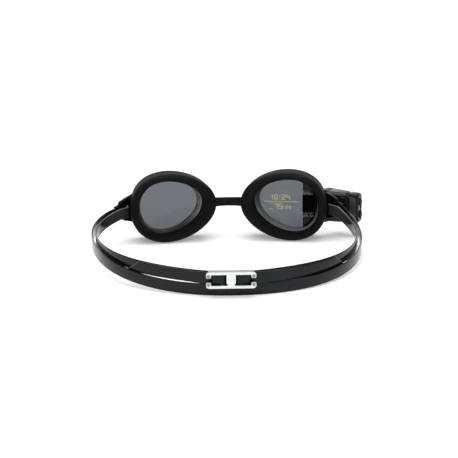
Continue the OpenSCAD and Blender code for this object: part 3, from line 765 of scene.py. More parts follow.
def tongue_shells(side):
    """Slotted tongue with a round bar for the strap and a stepped arm above it."""
    s = sizes()
    place = tongue_place(side)
    edge = s.tongue_thick / 2
    slot_half = (s.strap_width + SLOT_ROOM) / 2
    slot_start = -(s.strap_thick + SLOT_ROOM) - edge
    easy = 0.0006
    bevel = 0.0004
    bar_neck = 0.8
    bar_sink = 0.0004
    corners = [(-TONGUE_RUN_IN, -TONGUE_ROOT, easy), (TONGUE_HEEL, -TONGUE_FOOT, easy),
               (s.tongue_length, -TONGUE_TIP, easy), (s.tongue_length, ARM_FOOT, easy)]
    corners += [(along, up, easy) for along, up in ARM_STEPS]
    corners.append((-TONGUE_RUN_IN, ARM_ROOT, easy))
    hole = block(slot_start, -edge / 2, -slot_half, slot_half, easy, easy)
    plate = flat_solid(rounded(corners), [hole], s.tongue_thick, bevel)
    bar = spun([(edge * bar_neck, -slot_half - bar_sink), (edge, -slot_half), (edge, slot_half),
                (edge * bar_neck, slot_half + bar_sink)], steps=32)
    return [moved(plate, lambda x, y, z: place(x, z, y)), moved(bar, place)]


def socket_shell(side):
    """Open socket that holds a barrel of the nose bridge."""
    s = sizes()
    put = eye_place(side)
    hinge_x = from_eye(socket_x(), SOCKET_FORE)[0]
    turn = s.wrap_angle - 2 * math.atan(s.bridge_bow / hinge_x)
    opening = math.radians(50)
    play = 0.00005
    bevel = 0.0002
    start = math.pi + turn + opening
    end = 3 * math.pi + turn - opening
    steps = 40
    outline = []
    for radius, order in ((s.socket_radius, range(steps + 1)),
                          (s.barrel_radius + play, range(steps, -1, -1))):
        for i in order:
            a = start + (end - start) * i / steps
            outline.append((radius * math.cos(a), radius * math.sin(a)))
    ring = flat_solid(outline, [], s.barrel_length, bevel)
    return moved(ring, lambda x, y, z: put(socket_x() + x, SOCKET_FORE + y, z))


WINDOW_BEVEL = 0.0019


def window_inset():
    """Inset of the lens window from the cup's outline."""
    s = sizes()
    return s.frame_inset + s.frame_ring + s.window_step


def build_frames():
    """Black frames: lipped rings, smoked window walls with painted light and painted shade, lens beads that
    stand for the shadow line at the lens's edge, barrel sockets and strap tongues.
    """
    s = sizes()
    inset = s.frame_inset
    lip = inset + s.frame_lip
    inner = inset + s.frame_ring
    window = window_inset()
    ledge = s.frame_depth - s.ledge_depth
    fine = 0.00025
    skin = 0.00012
    front_turn = 0.0012
    front_ease = 0.0009
    front_back = 0.0016
    bead_wide = 0.0004
    bead_deep = 0.0006
    bead_crest = 0.0004
    steps = 5
    section = rounded([(inset, 0.0, fine), (inset, s.frame_depth - front_back, front_turn),
                       (inset + front_turn, s.frame_depth, front_ease), (lip, s.frame_depth, fine * 2),
                       (lip, ledge, fine), (window, ledge, fine), (window, WINDOW_BEVEL, fine * 2),
                       (inner, 0.0, fine)], steps)
    wall = rounded([(inner - skin, 2 * skin, 0.0), (inner, 0.0, skin),
                    (window + skin, WINDOW_BEVEL, fine * 2), (window + skin, ledge - skin, skin),
                    (window - skin, ledge - skin, 0.0), (window - 2 * skin, WINDOW_BEVEL + skin, 0.0)],
                   steps)
    # The bead is a dark ring at the lens's edge, put there for the shadow line where the lens meets the
    # window wall: painted shade
    bead = rounded([(window - skin, ledge - bead_deep, 0.0), (window + bead_wide, ledge - bead_crest, fine),
                    (window + bead_wide, ledge - skin, fine), (window - skin, ledge - skin, 0.0)])
    for side in (LEFT, RIGHT):
        name = SIDE_NAME[side]
        rim = "bead" if side == RIGHT else "frame"
        for label, shells, finish in (("_frame_ring", [cup_ring(section, side)], "ring"),
                                      ("_lens_bead", [cup_ring(bead, side)], rim),
                                      ("_window_wall", [cup_ring(wall, side)], name + "_smoke"),
                                      ("_socket", [socket_shell(side)], "frame"),
                                      ("_tongue", tongue_shells(side), "arm")):
            piece(name + label, shells, finish, [name + "_frame"], CUP_BODY[side])


def build_lenses():
    """Smoked lenses, domed, with eased rims."""
    s = sizes()
    rim_gap = 0.0001
    seat_gap = 0.00005
    ease = 0.0003
    rim = s.frame_inset + s.frame_lip + rim_gap
    back = s.frame_depth - s.ledge_depth + seat_gap
    front = back + s.lens_thick
    scales = [0.02, 0.12, 0.25, 0.38, 0.5, 0.62, 0.73, 0.83, 0.91, 0.97]

    def rise(q):
        return s.lens_crown * (1 - q * q)

    levels = [(rim, q, back + rise(q)) for q in scales]
    levels += [(rim + ease, 1.0, back), (rim, 1.0, back + ease)]
    levels += [(rim, 1.0, front - ease), (rim + ease, 1.0, front)]
    levels += [(rim, q, front + rise(q)) for q in reversed(scales)]
    for side in (LEFT, RIGHT):
        name = SIDE_NAME[side]
        shell = moved(loft(cup_loops(levels, steps=160)), eye_place(side))
        piece(name + "_lens_smoked", [shell], "lens", [name + "_lens"], CUP_BODY[side],
              sharp=40.0)


# Nose bridge


def build_bridge():
    """Bowed bar with flared ends, a small dimple and a barrel at each end."""
    s = sizes()
    hinge = joint_place("right_swivel")
    half = hinge.x
    bow = s.bridge_bow
    bow_radius = (half * half + bow * bow) / (2 * bow)
    flare = (s.barrel_length - s.bridge_height) / 2
    flare_radius = (half * half + flare * flare) / (2 * flare)
    centre_y = hinge.y + bow - bow_radius
    dimple_radius = 0.0008
    dimple_depth = 0.0006
    dimple_part = 0.09
    ease = 0.0007
    steps = 24
    limit = math.asin(half / bow_radius)
    thick = s.bridge_thick / 2
    spread = [-1.0 + i / steps for i in range(steps - 1)]
    spread += [-dimple_part + 2 * dimple_part * i / steps for i in range(steps + 1)]
    spread += [1.0 - i / steps for i in range(steps - 2, -1, -1)]
    loops = []
    for part in spread:
        a = part * limit
        x = bow_radius * math.sin(a)
        tall = s.bridge_height / 2 + flare_radius - math.sqrt(flare_radius ** 2 - x * x)
        flat = tall - ease
        rear = [(-thick, flat - 2 * flat * i / steps) for i in range(1, steps)]
        loop = []
        for out, up in block(-thick, thick, -tall, tall, ease, ease) + rear:
            reach = math.hypot(x, up)
            if out <= WELD - thick and reach < dimple_radius:
                out += dimple_depth * math.cos(math.pi / 2 * reach / dimple_radius)
            radius = bow_radius + out
            loop.append(Vector((radius * math.sin(a), centre_y + radius * math.cos(a), hinge.z + up)))
        loops.append(loop)
    shells = [loft(loops)]
    round_off = 0.0003
    top = s.barrel_length / 2
    wide = s.barrel_radius
    barrel = spun([(NEAR_AXIS, -top), (wide - round_off, -top), (wide, round_off - top),
                   (wide, top - round_off), (wide - round_off, top), (NEAR_AXIS, top)])
    for sign in (LEFT, RIGHT):
        end = Vector((sign * half, hinge.y, hinge.z))
        shells.append(moved(barrel, lambda x, y, z, end=end: end + Vector((x, y, z))))
    piece("bridge_bar", shells, "bridge", ["nose_bridge"], ROOT_BODY)


# Strap and clip

CLIP_GAP = 0.0003
STRAP_GAP = 0.00025
UPPER_DROP = {LEFT: 0.0072, RIGHT: 0.0153}
LOWER_DROP = {LEFT: 0.0036, RIGHT: 0.0142}
FOLD_LIFT = 0.0006
CLIP_PULL = 0.009
BAND_TUCK = {LEFT: 0.0018, RIGHT: 0.0034}
UPPER_RISE = {LEFT: 0.0034, RIGHT: 0.0027}
BAND_GAP = 0.0003
RAIL_ROOM = 0.0008
TAIL_LOW = 0.58
TAIL_CLIMB = 0.3
TAIL_SLANT = 1.5
TAIL_DROP = {LEFT: 0.0002, RIGHT: 0.0009}
TAIL_EASE = 0.016
STRAP_EDGE = 0.00042
# A place at the back of the loop: half width, share of the loop's depth, height; build_strap works it out
# but does not use it
STILL_FROM = (0.045, 0.9, 0.01)


def clip_places():
    """Fold radius, fold place, plate back and middle height of the clip."""
    s = sizes()
    fold = s.clip_bar / 2 + CLIP_GAP + s.strap_thick / 2
    fold_x = s.clip_post / 2 + CLIP_GAP + s.strap_thick / 2 + fold
    back = 2 * fold + s.strap_thick / 2 + CLIP_GAP
    middle = 1.5 * s.strap_width + BAND_GAP
    return fold, fold_x, back, middle


def bezier(points, t):
    """A point on a four-point curve, and its direction."""
    a, b, c, d = points
    u = 1 - t
    here = a * u ** 3 + b * 3 * u * u * t + c * 3 * u * t * t + d * t ** 3
    way = (b - a) * 3 * u * u + (c - b) * 6 * u * t + (d - c) * 3 * t * t
    return here, way.normalized()


def half_route(side):
    """Route of one half of the strap: tail, fold round the clip, upper band, tongue and lower band."""
    s = sizes()
    swing = s.right_swing if side == RIGHT else s.left_swing
    straight = s.right_straight if side == RIGHT else s.left_straight
    tail = s.right_tail if side == RIGHT else s.left_tail
    shift = side * s.clip_shift
    fold, fold_x, _, middle = clip_places()
    along = Vector((math.cos(s.strap_angle), -math.sin(s.strap_angle)))
    outward = Vector((math.sin(s.strap_angle), math.cos(s.strap_angle)))
    tongue = Vector(from_eye(s.cup_width / 2 + TONGUE_OUT, TONGUE_FORE))
    wrap = s.tongue_thick / 2 + STRAP_GAP + s.strap_thick / 2

    def band(start, drop, lift, height, bend):
        turn = start + along * straight
        return [Vector((start.x, start.y, s.strap_height)), Vector((turn.x, turn.y, s.strap_height - drop)),
                Vector((swing, -lift - s.strap_depth, height)) + bend,
                Vector((shift, -lift - s.strap_depth, height))]

    upper = band(tongue - outward * wrap + along * s.tongue_length, UPPER_DROP[side], FOLD_LIFT,
                 middle, Vector((-BAND_TUCK[side], CLIP_PULL, UPPER_RISE[side])))
    lower = band(tongue + outward * wrap + along * s.tongue_length, LOWER_DROP[side], 0.0,
                 s.strap_width / 2, Vector((0, 0, 0)))
    fold_at = 1 - fold_x / (3 * (swing - BAND_TUCK[side] - shift))
    rest = s.strap_thick + STRAP_GAP
    route = []
    tail_steps = 56
    for i in range(tail_steps + 1):
        u = i / tail_steps
        here, way = bezier(upper, tail + (fold_at - tail) * u)
        climb = min(1.0, max(0.0, (u - TAIL_LOW) / TAIL_CLIMB))
        climbed = climb * climb * (3 - 2 * climb)
        out = Vector((-way.y, way.x, 0)).normalized()
        sink = Vector((0, 0, TAIL_DROP[side] * (1 - climbed)))
        route.append(here + out * (rest + (2 * fold - rest) * climbed) - sink)
    here, way = bezier(upper, fold_at)
    out = Vector((-way.y, way.x, 0)).normalized()
    turn_steps = 18
    turns = [math.pi * i / turn_steps for i in range(turn_steps + 1)]
    route += [here + out * fold * (1 + math.cos(a)) + way * fold * math.sin(a) for a in turns[1:]]
    band_steps = 110
    route += [bezier(upper, fold_at * (1 - i / band_steps))[0] for i in range(1, band_steps + 1)]
    for a in turns:
        point = tongue - (outward * math.cos(a) + along * math.sin(a)) * wrap
        route.append(Vector((point.x, point.y, s.strap_height)))
    route += [bezier(lower, i / band_steps)[0] for i in range(band_steps + 1)]
    forward = face_y()
    return [Vector((side * point.x, point.y + forward, point.z)) for point in route]


def strap_tree():
    """Geometry nodes that carry a rounded strap section along a route, with its width upright."""
    tree = bpy.data.node_groups.new("strap_sweep", "GeometryNodeTree")
    for name, kind in (("Route", "Geometry"), ("Width", "Float"), ("Thickness", "Float"), ("Edge", "Float"),
                       ("Finish", "Material")):
        tree.interface.new_socket(name, in_out="INPUT", socket_type="NodeSocket" + kind)
    tree.interface.new_socket("Strap", in_out="OUTPUT", socket_type="NodeSocketGeometry")
    nodes = tree.nodes
    start = nodes.new("NodeGroupInput")
    end = nodes.new("NodeGroupOutput")
    upright = nodes.new("GeometryNodeSetCurveNormal")
    upright.mode = "Z_UP"
    section = nodes.new("GeometryNodeCurvePrimitiveQuadrilateral")
    ease = nodes.new("GeometryNodeFilletCurve")
    ease.mode = "POLY"
    ease.inputs["Count"].default_value = 4
    ease.inputs["Limit Radius"].default_value = True
    sweep = nodes.new("GeometryNodeCurveToMesh")
    sweep.inputs["Fill Caps"].default_value = True
    smooth = nodes.new("GeometryNodeSetShadeSmooth")
    real = nodes.new("GeometryNodeRealizeInstances")
    dress = nodes.new("GeometryNodeSetMaterial")
    for source, target in (
            (start.outputs["Route"], upright.inputs["Curve"]),
            (start.outputs["Thickness"], section.inputs["Width"]),
            (start.outputs["Width"], section.inputs["Height"]),
            (section.outputs["Curve"], ease.inputs["Curve"]),
            (start.outputs["Edge"], ease.inputs["Radius"]),
            (upright.outputs["Curve"], sweep.inputs["Curve"]),
            (ease.outputs["Curve"], sweep.inputs["Profile Curve"]),
            (sweep.outputs["Mesh"], smooth.inputs["Geometry"]),
            (smooth.outputs["Geometry"], real.inputs["Geometry"]),
            (real.outputs["Geometry"], dress.inputs["Geometry"]),
            (start.outputs["Finish"], dress.inputs["Material"]),
            (dress.outputs["Geometry"], end.inputs["Strap"])):
        tree.links.new(source, target)
    return tree


def swept(route, tree, values):
    """Points and faces of a route carried through a tree, with the tree's inputs set by name."""
    data = bpy.data.curves.new("strap_route", "CURVE")
    data.dimensions = "3D"
    spline = data.splines.new("POLY")
    spline.points.add(len(route) - 1)
    for target, point in zip(spline.points, route):
        target.co = (*point, 1.0)
    helper = bpy.data.objects.new("strap_route", data)
    bpy.context.scene.collection.objects.link(helper)
    modifier = helper.modifiers.new("sweep", "NODES")
    modifier.node_group = tree
    for item in tree.interface.items_tree:
        if item.in_out == "INPUT" and item.name in values:
            modifier[item.identifier] = values[item.name]
    mesh = bpy.data.meshes.new_from_object(helper.evaluated_get(bpy.context.evaluated_depsgraph_get()))
    points = [vertex.co.copy() for vertex in mesh.vertices]
    faces = [tuple(face.vertices) for face in mesh.polygons]
    helper.modifiers.remove(modifier)
    bpy.data.objects.remove(helper)
    bpy.data.meshes.remove(mesh)
    return points, faces


def slanted_tail(shell, route):
    """Leans the tail's first stretch over, so that its end is cut on a slant."""
    points, faces = shell
    count = len(points) // len(route)
    run = 0.0
    row = 0
    while run < TAIL_EASE:
        step = route[row + 1] - route[row]
        lean = step.normalized() * TAIL_SLANT * (1 - run / TAIL_EASE)
        for i in range(row * count, (row + 1) * count):
            points[i] += lean * (points[i].z - route[row].z)
        run += step.length
        row += 1
    return points, faces


def mark_tail_highlight(made, ring):
    """Marks the points of the tail's end, whose edge gets a painted highlight."""
    digits = 6

    def rough(point):
        return tuple(round(value, digits) for value in point)

    marks = made.data.attributes.new(TAIL_HIGHLIGHT_MARK, "FLOAT", "POINT")
    ends = {rough(point) for point in ring}
    for vertex, mark in zip(made.data.vertices, marks.data):
        if rough(vertex.co) in ends:
            mark.value = 1.0


def build_strap():
    """Split silicone strap: one half for each cup, joined at the back."""
    s = sizes()
    tree = strap_tree()
    values = {"Width": s.strap_width, "Thickness": s.strap_thick, "Edge": STRAP_EDGE,
              "Finish": FINISH["strap"]}
    still_x, still_part, still_z = STILL_FROM
    for side in (LEFT, RIGHT):
        route = half_route(side)
        shell = slanted_tail(swept(route, tree, values), route)
        name = SIDE_NAME[side] + "_strap"
        made = piece(name, [shell], "strap", ["head_strap"], sharp=50.0)
        mark_tail_highlight(made, shell[0][:len(shell[0]) // len(route)])
        tongue = tongue_place(side)(s.tongue_length, 0, 0)
        back = Vector((side * still_x, face_y() - s.strap_depth * still_part, still_z))
        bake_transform(made)


def build_clip():
    """Clear clip: plate with two windows and split hooks, rails and fold bars."""
    s = sizes()
    fold, fold_x, back, middle = clip_places()
    half = s.clip_length / 2
    tall = s.clip_height / 2
    post = s.clip_post / 2
    window = s.clip_window / 2
    hook = half - s.clip_hook
    slit = 0.00125
    big = 0.003
    small = 0.0008
    tip = 0.0011
    edge = 0.0003
    plate_bevel = 0.0004
    rail_bevel = 0.00025
    rail_set_in = 0.0014
    sink = 0.0004
    bar_end = 0.0014
    bar_bevel = 0.0002
    right = [(half, tall, big), (half, slit, tip), (hook, slit, tip), (hook, window, small),
             (post, window, small), (post, -window, small), (hook, -window, small), (hook, -slit, tip),
             (half, -slit, tip), (half, -tall, big)]
    left = [(-x, y, radius) for x, y, radius in reversed(right)]
    plate = flat_solid(rounded(right + left, steps=6), [], s.clip_plate, plate_bevel)
    centre = Vector((s.clip_shift, face_y() - s.strap_depth, middle))

    def place(x, y, z):
        return centre + Vector((x, -z, y))

    shells = [moved(plate, lambda x, y, z: place(x, y, z + back + s.clip_plate / 2))]
    rail_half = (tall - s.strap_width / 2 - RAIL_ROOM) / 2
    rail_end = half - rail_set_in
    rail_deep = back - fold + s.clip_bar / 2
    rail_out = back + (sink - rail_deep) / 2
    rail = flat_solid(block(-rail_end, rail_end, -rail_half, rail_half, edge, edge), [],
                      rail_deep + sink, rail_bevel)
    bar_half = s.clip_bar / 2
    bar_x = fold_x + fold * CLIP_PULL / s.left_swing
    bar = flat_solid(block(-bar_half, bar_end, -bar_half, bar_half, bar_half, edge, steps=6), [],
                     2 * (s.strap_width / 2 + RAIL_ROOM + rail_half), bar_bevel)
    for sign in (-1, 1):
        rail_up = sign * (tall - rail_half)
        shells.append(moved(rail, lambda x, y, z, up=rail_up: place(x, up + y, z + rail_out)))
        shells.append(moved(bar, lambda x, y, z, k=sign: place(k * (bar_x + x), z, fold + y)))
    piece("clip_clear", shells, "clip", ["strap_clip"], ROOT_BODY)


# Pod

POD_INSET = 0.0021
POD_FORE = 0.0129
POD_RISE = -0.0034
POD_START = 0.004
POD_ROOT = -0.001
POD_SLOPE = 0.0008
POD_EASE = 1.35


def pod_axes(x, y, z):
    """Puts a point of the pod's axes, along, forward and up, into the right cup's axes."""
    s = sizes()
    across = s.cup_width / 2 - POD_INSET + x * math.cos(s.pod_sweep) + y * math.sin(s.pod_sweep)
    ahead = POD_FORE - x * math.sin(s.pod_sweep) + y * math.cos(s.pod_sweep)
    return across, ahead, POD_RISE + z


def pod_place():
    """Puts a point of the pod's own axes into the goggles."""
    put = eye_place(RIGHT)
    return lambda x, y, z: put(*pod_axes(x, y, z))


def pod_rear(x):
    """Half the pod's depth at a station, and how far along the pod the station is."""
    s = sizes()
    near = POD_ROOT + s.pod_round
    part = min(1.0, max(0.0, (x - near) / (s.pod_length - s.pod_round - near)))
    half_root = s.pod_deep / 2 + (s.pod_slim - s.pod_deep) / 2 * POD_ROOT / s.pod_length
    return half_root + (s.pod_slim / 2 - half_root) * part, part


def pod_loop(x, drawn_in):
    """Rounded outline of the pod at a station, drawn in."""
    s = sizes()
    half, part = pod_rear(x)
    half -= drawn_in
    low = drawn_in - s.pod_height / 2
    high = s.pod_height / 2 + POD_SLOPE * (1 - part) - drawn_in
    ease = s.pod_round * POD_EASE - drawn_in
    return [(x, y, z) for y, z in block(-half, half, low, high, ease, ease, steps=8)]


def build_pod():
    """Gloss pod housing with its shoulder, the seal groove and the satin end cap."""
    s = sizes()
    place = pod_place()
    cap_at = s.pod_length - s.cap_length
    seal_at = cap_at - s.groove_width
    edge = 0.0003
    run_in = 0.004
    groove = 0.0008
    curl = 0.0017
    steps = 9
    housing = [pod_loop(POD_START, 0), pod_loop(POD_START + run_in, 0), pod_loop(seal_at - edge, 0),
               pod_loop(seal_at - edge / 3, edge / 3), pod_loop(seal_at, edge)]
    piece("pod_shell", [moved(loft(housing), place)], "frame", ["pod_housing"], "right_cup")
    seal = [pod_loop(seal_at - edge, groove), pod_loop(cap_at + edge, groove)]
    piece("pod_groove", [moved(loft(seal), place)], "rubber", ["pod_seal"], "right_cup")
    cap = [pod_loop(cap_at, edge), pod_loop(cap_at + edge / 3, edge / 3), pod_loop(cap_at + edge, 0)]
    for i in range(steps + 1):
        a = math.pi / 2 * i / steps
        cap.append(pod_loop(s.pod_length - curl + curl * math.sin(a), curl * (1 - math.cos(a))))
    made = piece("pod_cap", [moved(loft(cap), place)], "cap", ["pod_end_cap"], None)
    bore_holes(made)
    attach(made, "right_cup")
    panel = moved(cap_panel_shell(cap_at), place)
    piece("cap_panel", [panel], "panel", ["pod_end_cap"], "right_cup")
    shoulder = moved(shoulder_shell(), eye_place(RIGHT))
    piece("pod_shoulder", [shoulder], "frame", ["right_frame"], "right_cup")


def cap_panel_shell(cap_at):
    """Satin plate let into the rear face of the end cap, in the pod's own axes."""
    s = sizes()
    thick = 0.0006
    bevel = 0.00015
    proud = 0.00008
    start_in = 0.0009
    start_round = 0.0006
    end_in = 0.0014
    end_round = 0.0014
    edge_in = 0.0021
    tall = s.pod_height / 2 - edge_in
    outline = block(cap_at + start_in, s.pod_length - end_in, -tall, tall, start_round, end_round)
    plate = flat_solid(outline, [], thick, bevel)
    return moved(plate, lambda x, y, z: (x, -pod_rear(x)[0] - proud + thick / 2 - z, y))


def button_shell(profile, sign):
    """A turned shape on a button's axis, the upper one at +1, from its profile out of the pod's end."""
    s = sizes()
    place = pod_place()
    middle = sign * s.button_pitch / 2
    return moved(spun(profile), lambda x, y, z: place(s.pod_length + z, y, middle - x))


def bore_holes(cap):
    """Cuts the two button bores into the end cap."""
    deep = 0.004
    axis = 0.0001
    play = 0.0001
    bore = sizes().button_radius + play
    profile = [(axis, -deep), (bore, -deep), (bore, deep), (axis, deep)]
    tools = [piece("button_bore", [button_shell(profile, sign)], "rubber")
             for sign in (-1, 1)]
    for tool in tools:
        cut = cap.modifiers.new("bore", "BOOLEAN")
        cut.operation = "DIFFERENCE"
        cut.solver = "EXACT"
        cut.object = tool
    mesh = bpy.data.meshes.new_from_object(cap.evaluated_get(bpy.context.evaluated_depsgraph_get()))
    cap.modifiers.clear()
    cap.data = mesh
    for tool in tools:
        bpy.data.objects.remove(tool)


SHOULDER_FROM = math.radians(-36)
SHOULDER_TO = math.radians(22)
SHOULDER_BACK = 0.0008


def shoulder_shell():
    """Smooth neck from the right frame to the pod, in the cup's own axes."""
    s = sizes()
    sink = 0.0006
    swell = 0.0006
    ease = 0.22
    steps = 12
    tip = [Vector(pod_axes(*point)) for point in pod_loop(POD_START, 0)]
    front = s.frame_depth - SHOULDER_BACK
    root = []
    for ahead, part in block(SHOULDER_BACK / front, 1.0, 0.0, 1.0, ease, ease, steps=8):
        turn = SHOULDER_FROM + (SHOULDER_TO - SHOULDER_FROM) * part
        x, z = cup_point(turn, s.frame_inset + sink)
        root.append(Vector((x, ahead * front, z)))
    loops = []
    for i in range(steps + 1):
        t = i / steps
        out = swell * math.sin(math.pi * t)
        loop = []
        for start, end in zip(root, tip):
            point = start.lerp(end, t)
            point.z += out if point.z > POD_RISE else -out
            loop.append(tuple(point))
        loops.append(loop)
    return loft(loops)


def build_buttons():
    """Two dished push buttons in the pod's end."""
    s = sizes()
    bevel = 0.0004
    dish = 0.0003
    foot = -0.0022
    bevel_steps = 4
    dish_steps = 8
    proud = s.button_proud
    wide = s.button_radius
    profile = [(NEAR_AXIS, foot), (wide, foot), (wide, proud - bevel)]
    for i in range(1, bevel_steps + 1):
        a = math.pi / 2 * i / bevel_steps
        profile.append((wide - bevel * (1 - math.cos(a)), proud - bevel + bevel * math.sin(a)))
    for i in range(1, dish_steps + 1):
        t = 1 - i / dish_steps
        profile.append((max(NEAR_AXIS, (wide - bevel) * t), proud - dish * (1 - t * t)))
    for name, sign in (("upper_button", 1), ("lower_button", -1)):
        piece(name + "_face", [button_shell(profile, sign)], "ring", [name], name)


# Display optics in the right cup

DISPLAY_REACH = 0.017
GUIDE_BACK = 0.0034
GUIDE_FRONT = 0.0046
ENGINE_BACK = 0.002
COVER_BACK = 0.0005
COVER_LENGTH = 0.0084
COVER_HEIGHT = 0.0122
COVER_RISE = 0.0002


def split_outline(temple, inset):
    """The part of the cup's outline on one side of the display's edge."""
    slit = 0.0001
    steps = 240
    edge = sizes().cup_width / 2 - DISPLAY_REACH
    edge += slit if temple else -slit
    points = [cup_point(2 * math.pi * i / steps, inset) for i in range(steps)]
    kept = []
    for i in range(steps):
        here = points[i]
        before = points[i - 1]
        if (here[0] > edge) != (before[0] > edge):
            t = (edge - before[0]) / (here[0] - before[0])
            kept.append((edge, before[1] + (here[1] - before[1]) * t))
        if (here[0] > edge) == temple:
            kept.append(here)
    return kept


def optic_plate(outline, back, front, bevel):
    """A flat plate in the right cup, between two depths."""
    put = eye_place(RIGHT)
    plate = flat_solid(outline, [], front - back, bevel)
    return moved(plate, lambda x, y, z: put(x, (back + front) / 2 + z, y))


def build_optics():
    """Light guide plate, projector housing, cover and facets in the right cup."""
    room = 0.00015
    guide_bevel = 0.0002
    engine_bevel = 0.0009
    cover_bevel = 0.0003
    edge_round = 0.0004
    temple_round = 0.0012
    upper_rise = 0.0034
    upper_reach = 0.0058
    lower_fall = 0.0042
    lower_reach = 0.0076
    inset = window_inset() + room
    guide = optic_plate(split_outline(False, inset), GUIDE_BACK, GUIDE_FRONT, guide_bevel)
    piece("guide_plate", [guide], "guide", ["waveguide"], "right_cup")
    engine = optic_plate(split_outline(True, inset), ENGINE_BACK, GUIDE_FRONT, engine_bevel)
    piece("engine_plate", [engine], "engine", ["projector_housing"], "right_cup")
    start = sizes().cup_width / 2 - DISPLAY_REACH
    low = COVER_RISE - COVER_HEIGHT / 2
    high = COVER_RISE + COVER_HEIGHT / 2
    outline = block(start, start + COVER_LENGTH, low, high, edge_round, temple_round)
    cover = optic_plate(outline, COVER_BACK, ENGINE_BACK, cover_bevel)
    piece("engine_cover", [cover], "cover", ["projector_cover"], "right_cup")
    roofs = [moved(roof_shell(start, high, high + upper_rise, upper_reach), eye_place(RIGHT)),
             moved(roof_shell(start, low, low - lower_fall, lower_reach), eye_place(RIGHT))]
    piece("engine_prisms", roofs, "prism", ["projector_housing"], "right_cup", sharp=10.0)


def roof_shell(start, foot, end, end_reach):
    """Sloped facet that falls from the projector's block to its plate, in the cup's own axes."""
    foot_reach = 0.0079
    sunk = 0.0003
    raised = 0.0004
    crest_in = 0.0016
    crest_short = 0.0007
    deep = ENGINE_BACK + sunk
    proud = COVER_BACK + raised
    inner = start + sunk
    crest_from = start + crest_in
    crest_to = start + foot_reach - crest_short
    points = [(inner, deep, foot), (start + foot_reach, deep, foot), (start + end_reach, deep, end),
              (inner, deep, end), (crest_from, proud, foot), (crest_to, proud, foot)]
    faces = [(3, 2, 5, 4), (0, 4, 3), (0, 4, 5, 1), (1, 5, 2), (0, 1, 2, 3)]
    return points, faces


class DisplayText(bpy.types.PropertyGroup):
    """Plain numbers that the display shows."""

    upper: StringProperty(name="Upper line", description="Numbers above the rule", default="10:24")
    lower: StringProperty(name="Lower line", description="Numbers below the rule", default="75")
    small: StringProperty(name="Small numbers", description="Numbers beside the lower line", default="25")


# Bars that each number lights: top, upper right, lower right, bottom, lower left, upper left, middle
NUMBER_BARS = {"0": "abcdef", "1": "bc", "2": "abged", "3": "abgcd", "4": "fgbc",
               "5": "afgcd", "6": "afgedc", "7": "abc", "8": "abcdefg", "9": "abcdfg"}
BAR_ENDS = {"a": ((0, 1), (1, 1)), "b": ((1, 0.5), (1, 1)), "c": ((1, 0), (1, 0.5)), "d": ((0, 0), (1, 0)),
            "e": ((0, 0), (0, 0.5)), "f": ((0, 0.5), (0, 1)), "g": ((0, 0.5), (1, 0.5))}
BAR_DEEP = 0.00012
# Lines of numbers: name, start, foot, height, width, gap and share of the bars' width
NUMBER_LINES = (("upper", -0.0102, 0.0024, 0.0031, 0.0019, 0.0013, 1.0),
                ("lower", -0.0068, -0.0042, 0.0032, 0.0019, 0.0012, 1.0),
                ("small", 0.0004, -0.0042, 0.0019, 0.0014, 0.0009, 0.7))
COLON_DOTS = (0.28, 0.72)
COLON_SHARE = 1.4
NUMBER_THICK = 0.00036
RULE_THICK = 0.00024
RULE_ENDS = ((-0.0139, 0.00085), (0.0087, 0.00085))
DASH_ENDS = ((-0.0104, -0.0042), (-0.0086, -0.0042))


def bar_shell(start, end, thick):
    """One lit bar on the light guide, facing the wearer."""
    put = eye_place(RIGHT)
    half = thick / 2
    low_x = min(start[0], end[0]) - half
    high_x = max(start[0], end[0]) + half
    low_z = min(start[1], end[1]) - half
    high_z = max(start[1], end[1]) + half
    loops = []
    for ahead in (GUIDE_BACK - BAR_DEEP, GUIDE_BACK + BAR_DEEP / 4):
        loops.append([put(low_x, ahead, low_z), put(high_x, ahead, low_z), put(high_x, ahead, high_z),
                      put(low_x, ahead, high_z)])
    return loft(loops)


def number_shells(words, start_x, base_z, tall, wide, gap, thick):
    """Numbers made of thin bars, from a start towards the temple."""
    shells = []
    across = start_x
    for letter in words:
        if letter == ":":
            for part in COLON_DOTS:
                dot = (across + thick, base_z + tall * part)
                shells.append(bar_shell(dot, dot, thick * COLON_SHARE))
            across += gap + 2 * thick
            continue
        for bar in NUMBER_BARS[letter]:
            start, end = [(across + x * wide, base_z + z * tall) for x, z in BAR_ENDS[bar]]
            shells.append(bar_shell(start, end, thick))
        across += wide + gap
    return shells


def build_numbers():
    """Glowing numbers, a rule and a dash in the display."""
    shown = bpy.context.scene.goggle_text
    shells = []
    for name, start_x, base_z, tall, wide, gap, part in NUMBER_LINES:
        shells += number_shells(getattr(shown, name), start_x, base_z, tall, wide, gap, part * NUMBER_THICK)
    shells.append(bar_shell(*RULE_ENDS, RULE_THICK))
    shells.append(bar_shell(*DASH_ENDS, NUMBER_THICK))
    piece("display_numbers", shells, "glow", [], "right_cup")


# Nodes that keep their solids


INSIDES = {"collimator_lens": "guide", "micro_display": "silicon", "display_ribbon": "ribbon",
           "main_board": "board", "board_chips": "chip", "battery": "foil", "charge_contacts": "gold",
           "button_board": "board", "button_switches": "steel", "button_seals": "rubber"}


def dress_insides():
    """Gives the solids inside the pod and the display their finishes."""
    for name, finish in INSIDES.items():
        mesh = frame["nodes"][name].data
        mesh.materials.clear()
        mesh.materials.append(FINISH[finish])


# Stage


FADE_FROM = 0.14
FADE_TO = 0.75
FADE_LOW = 0.25


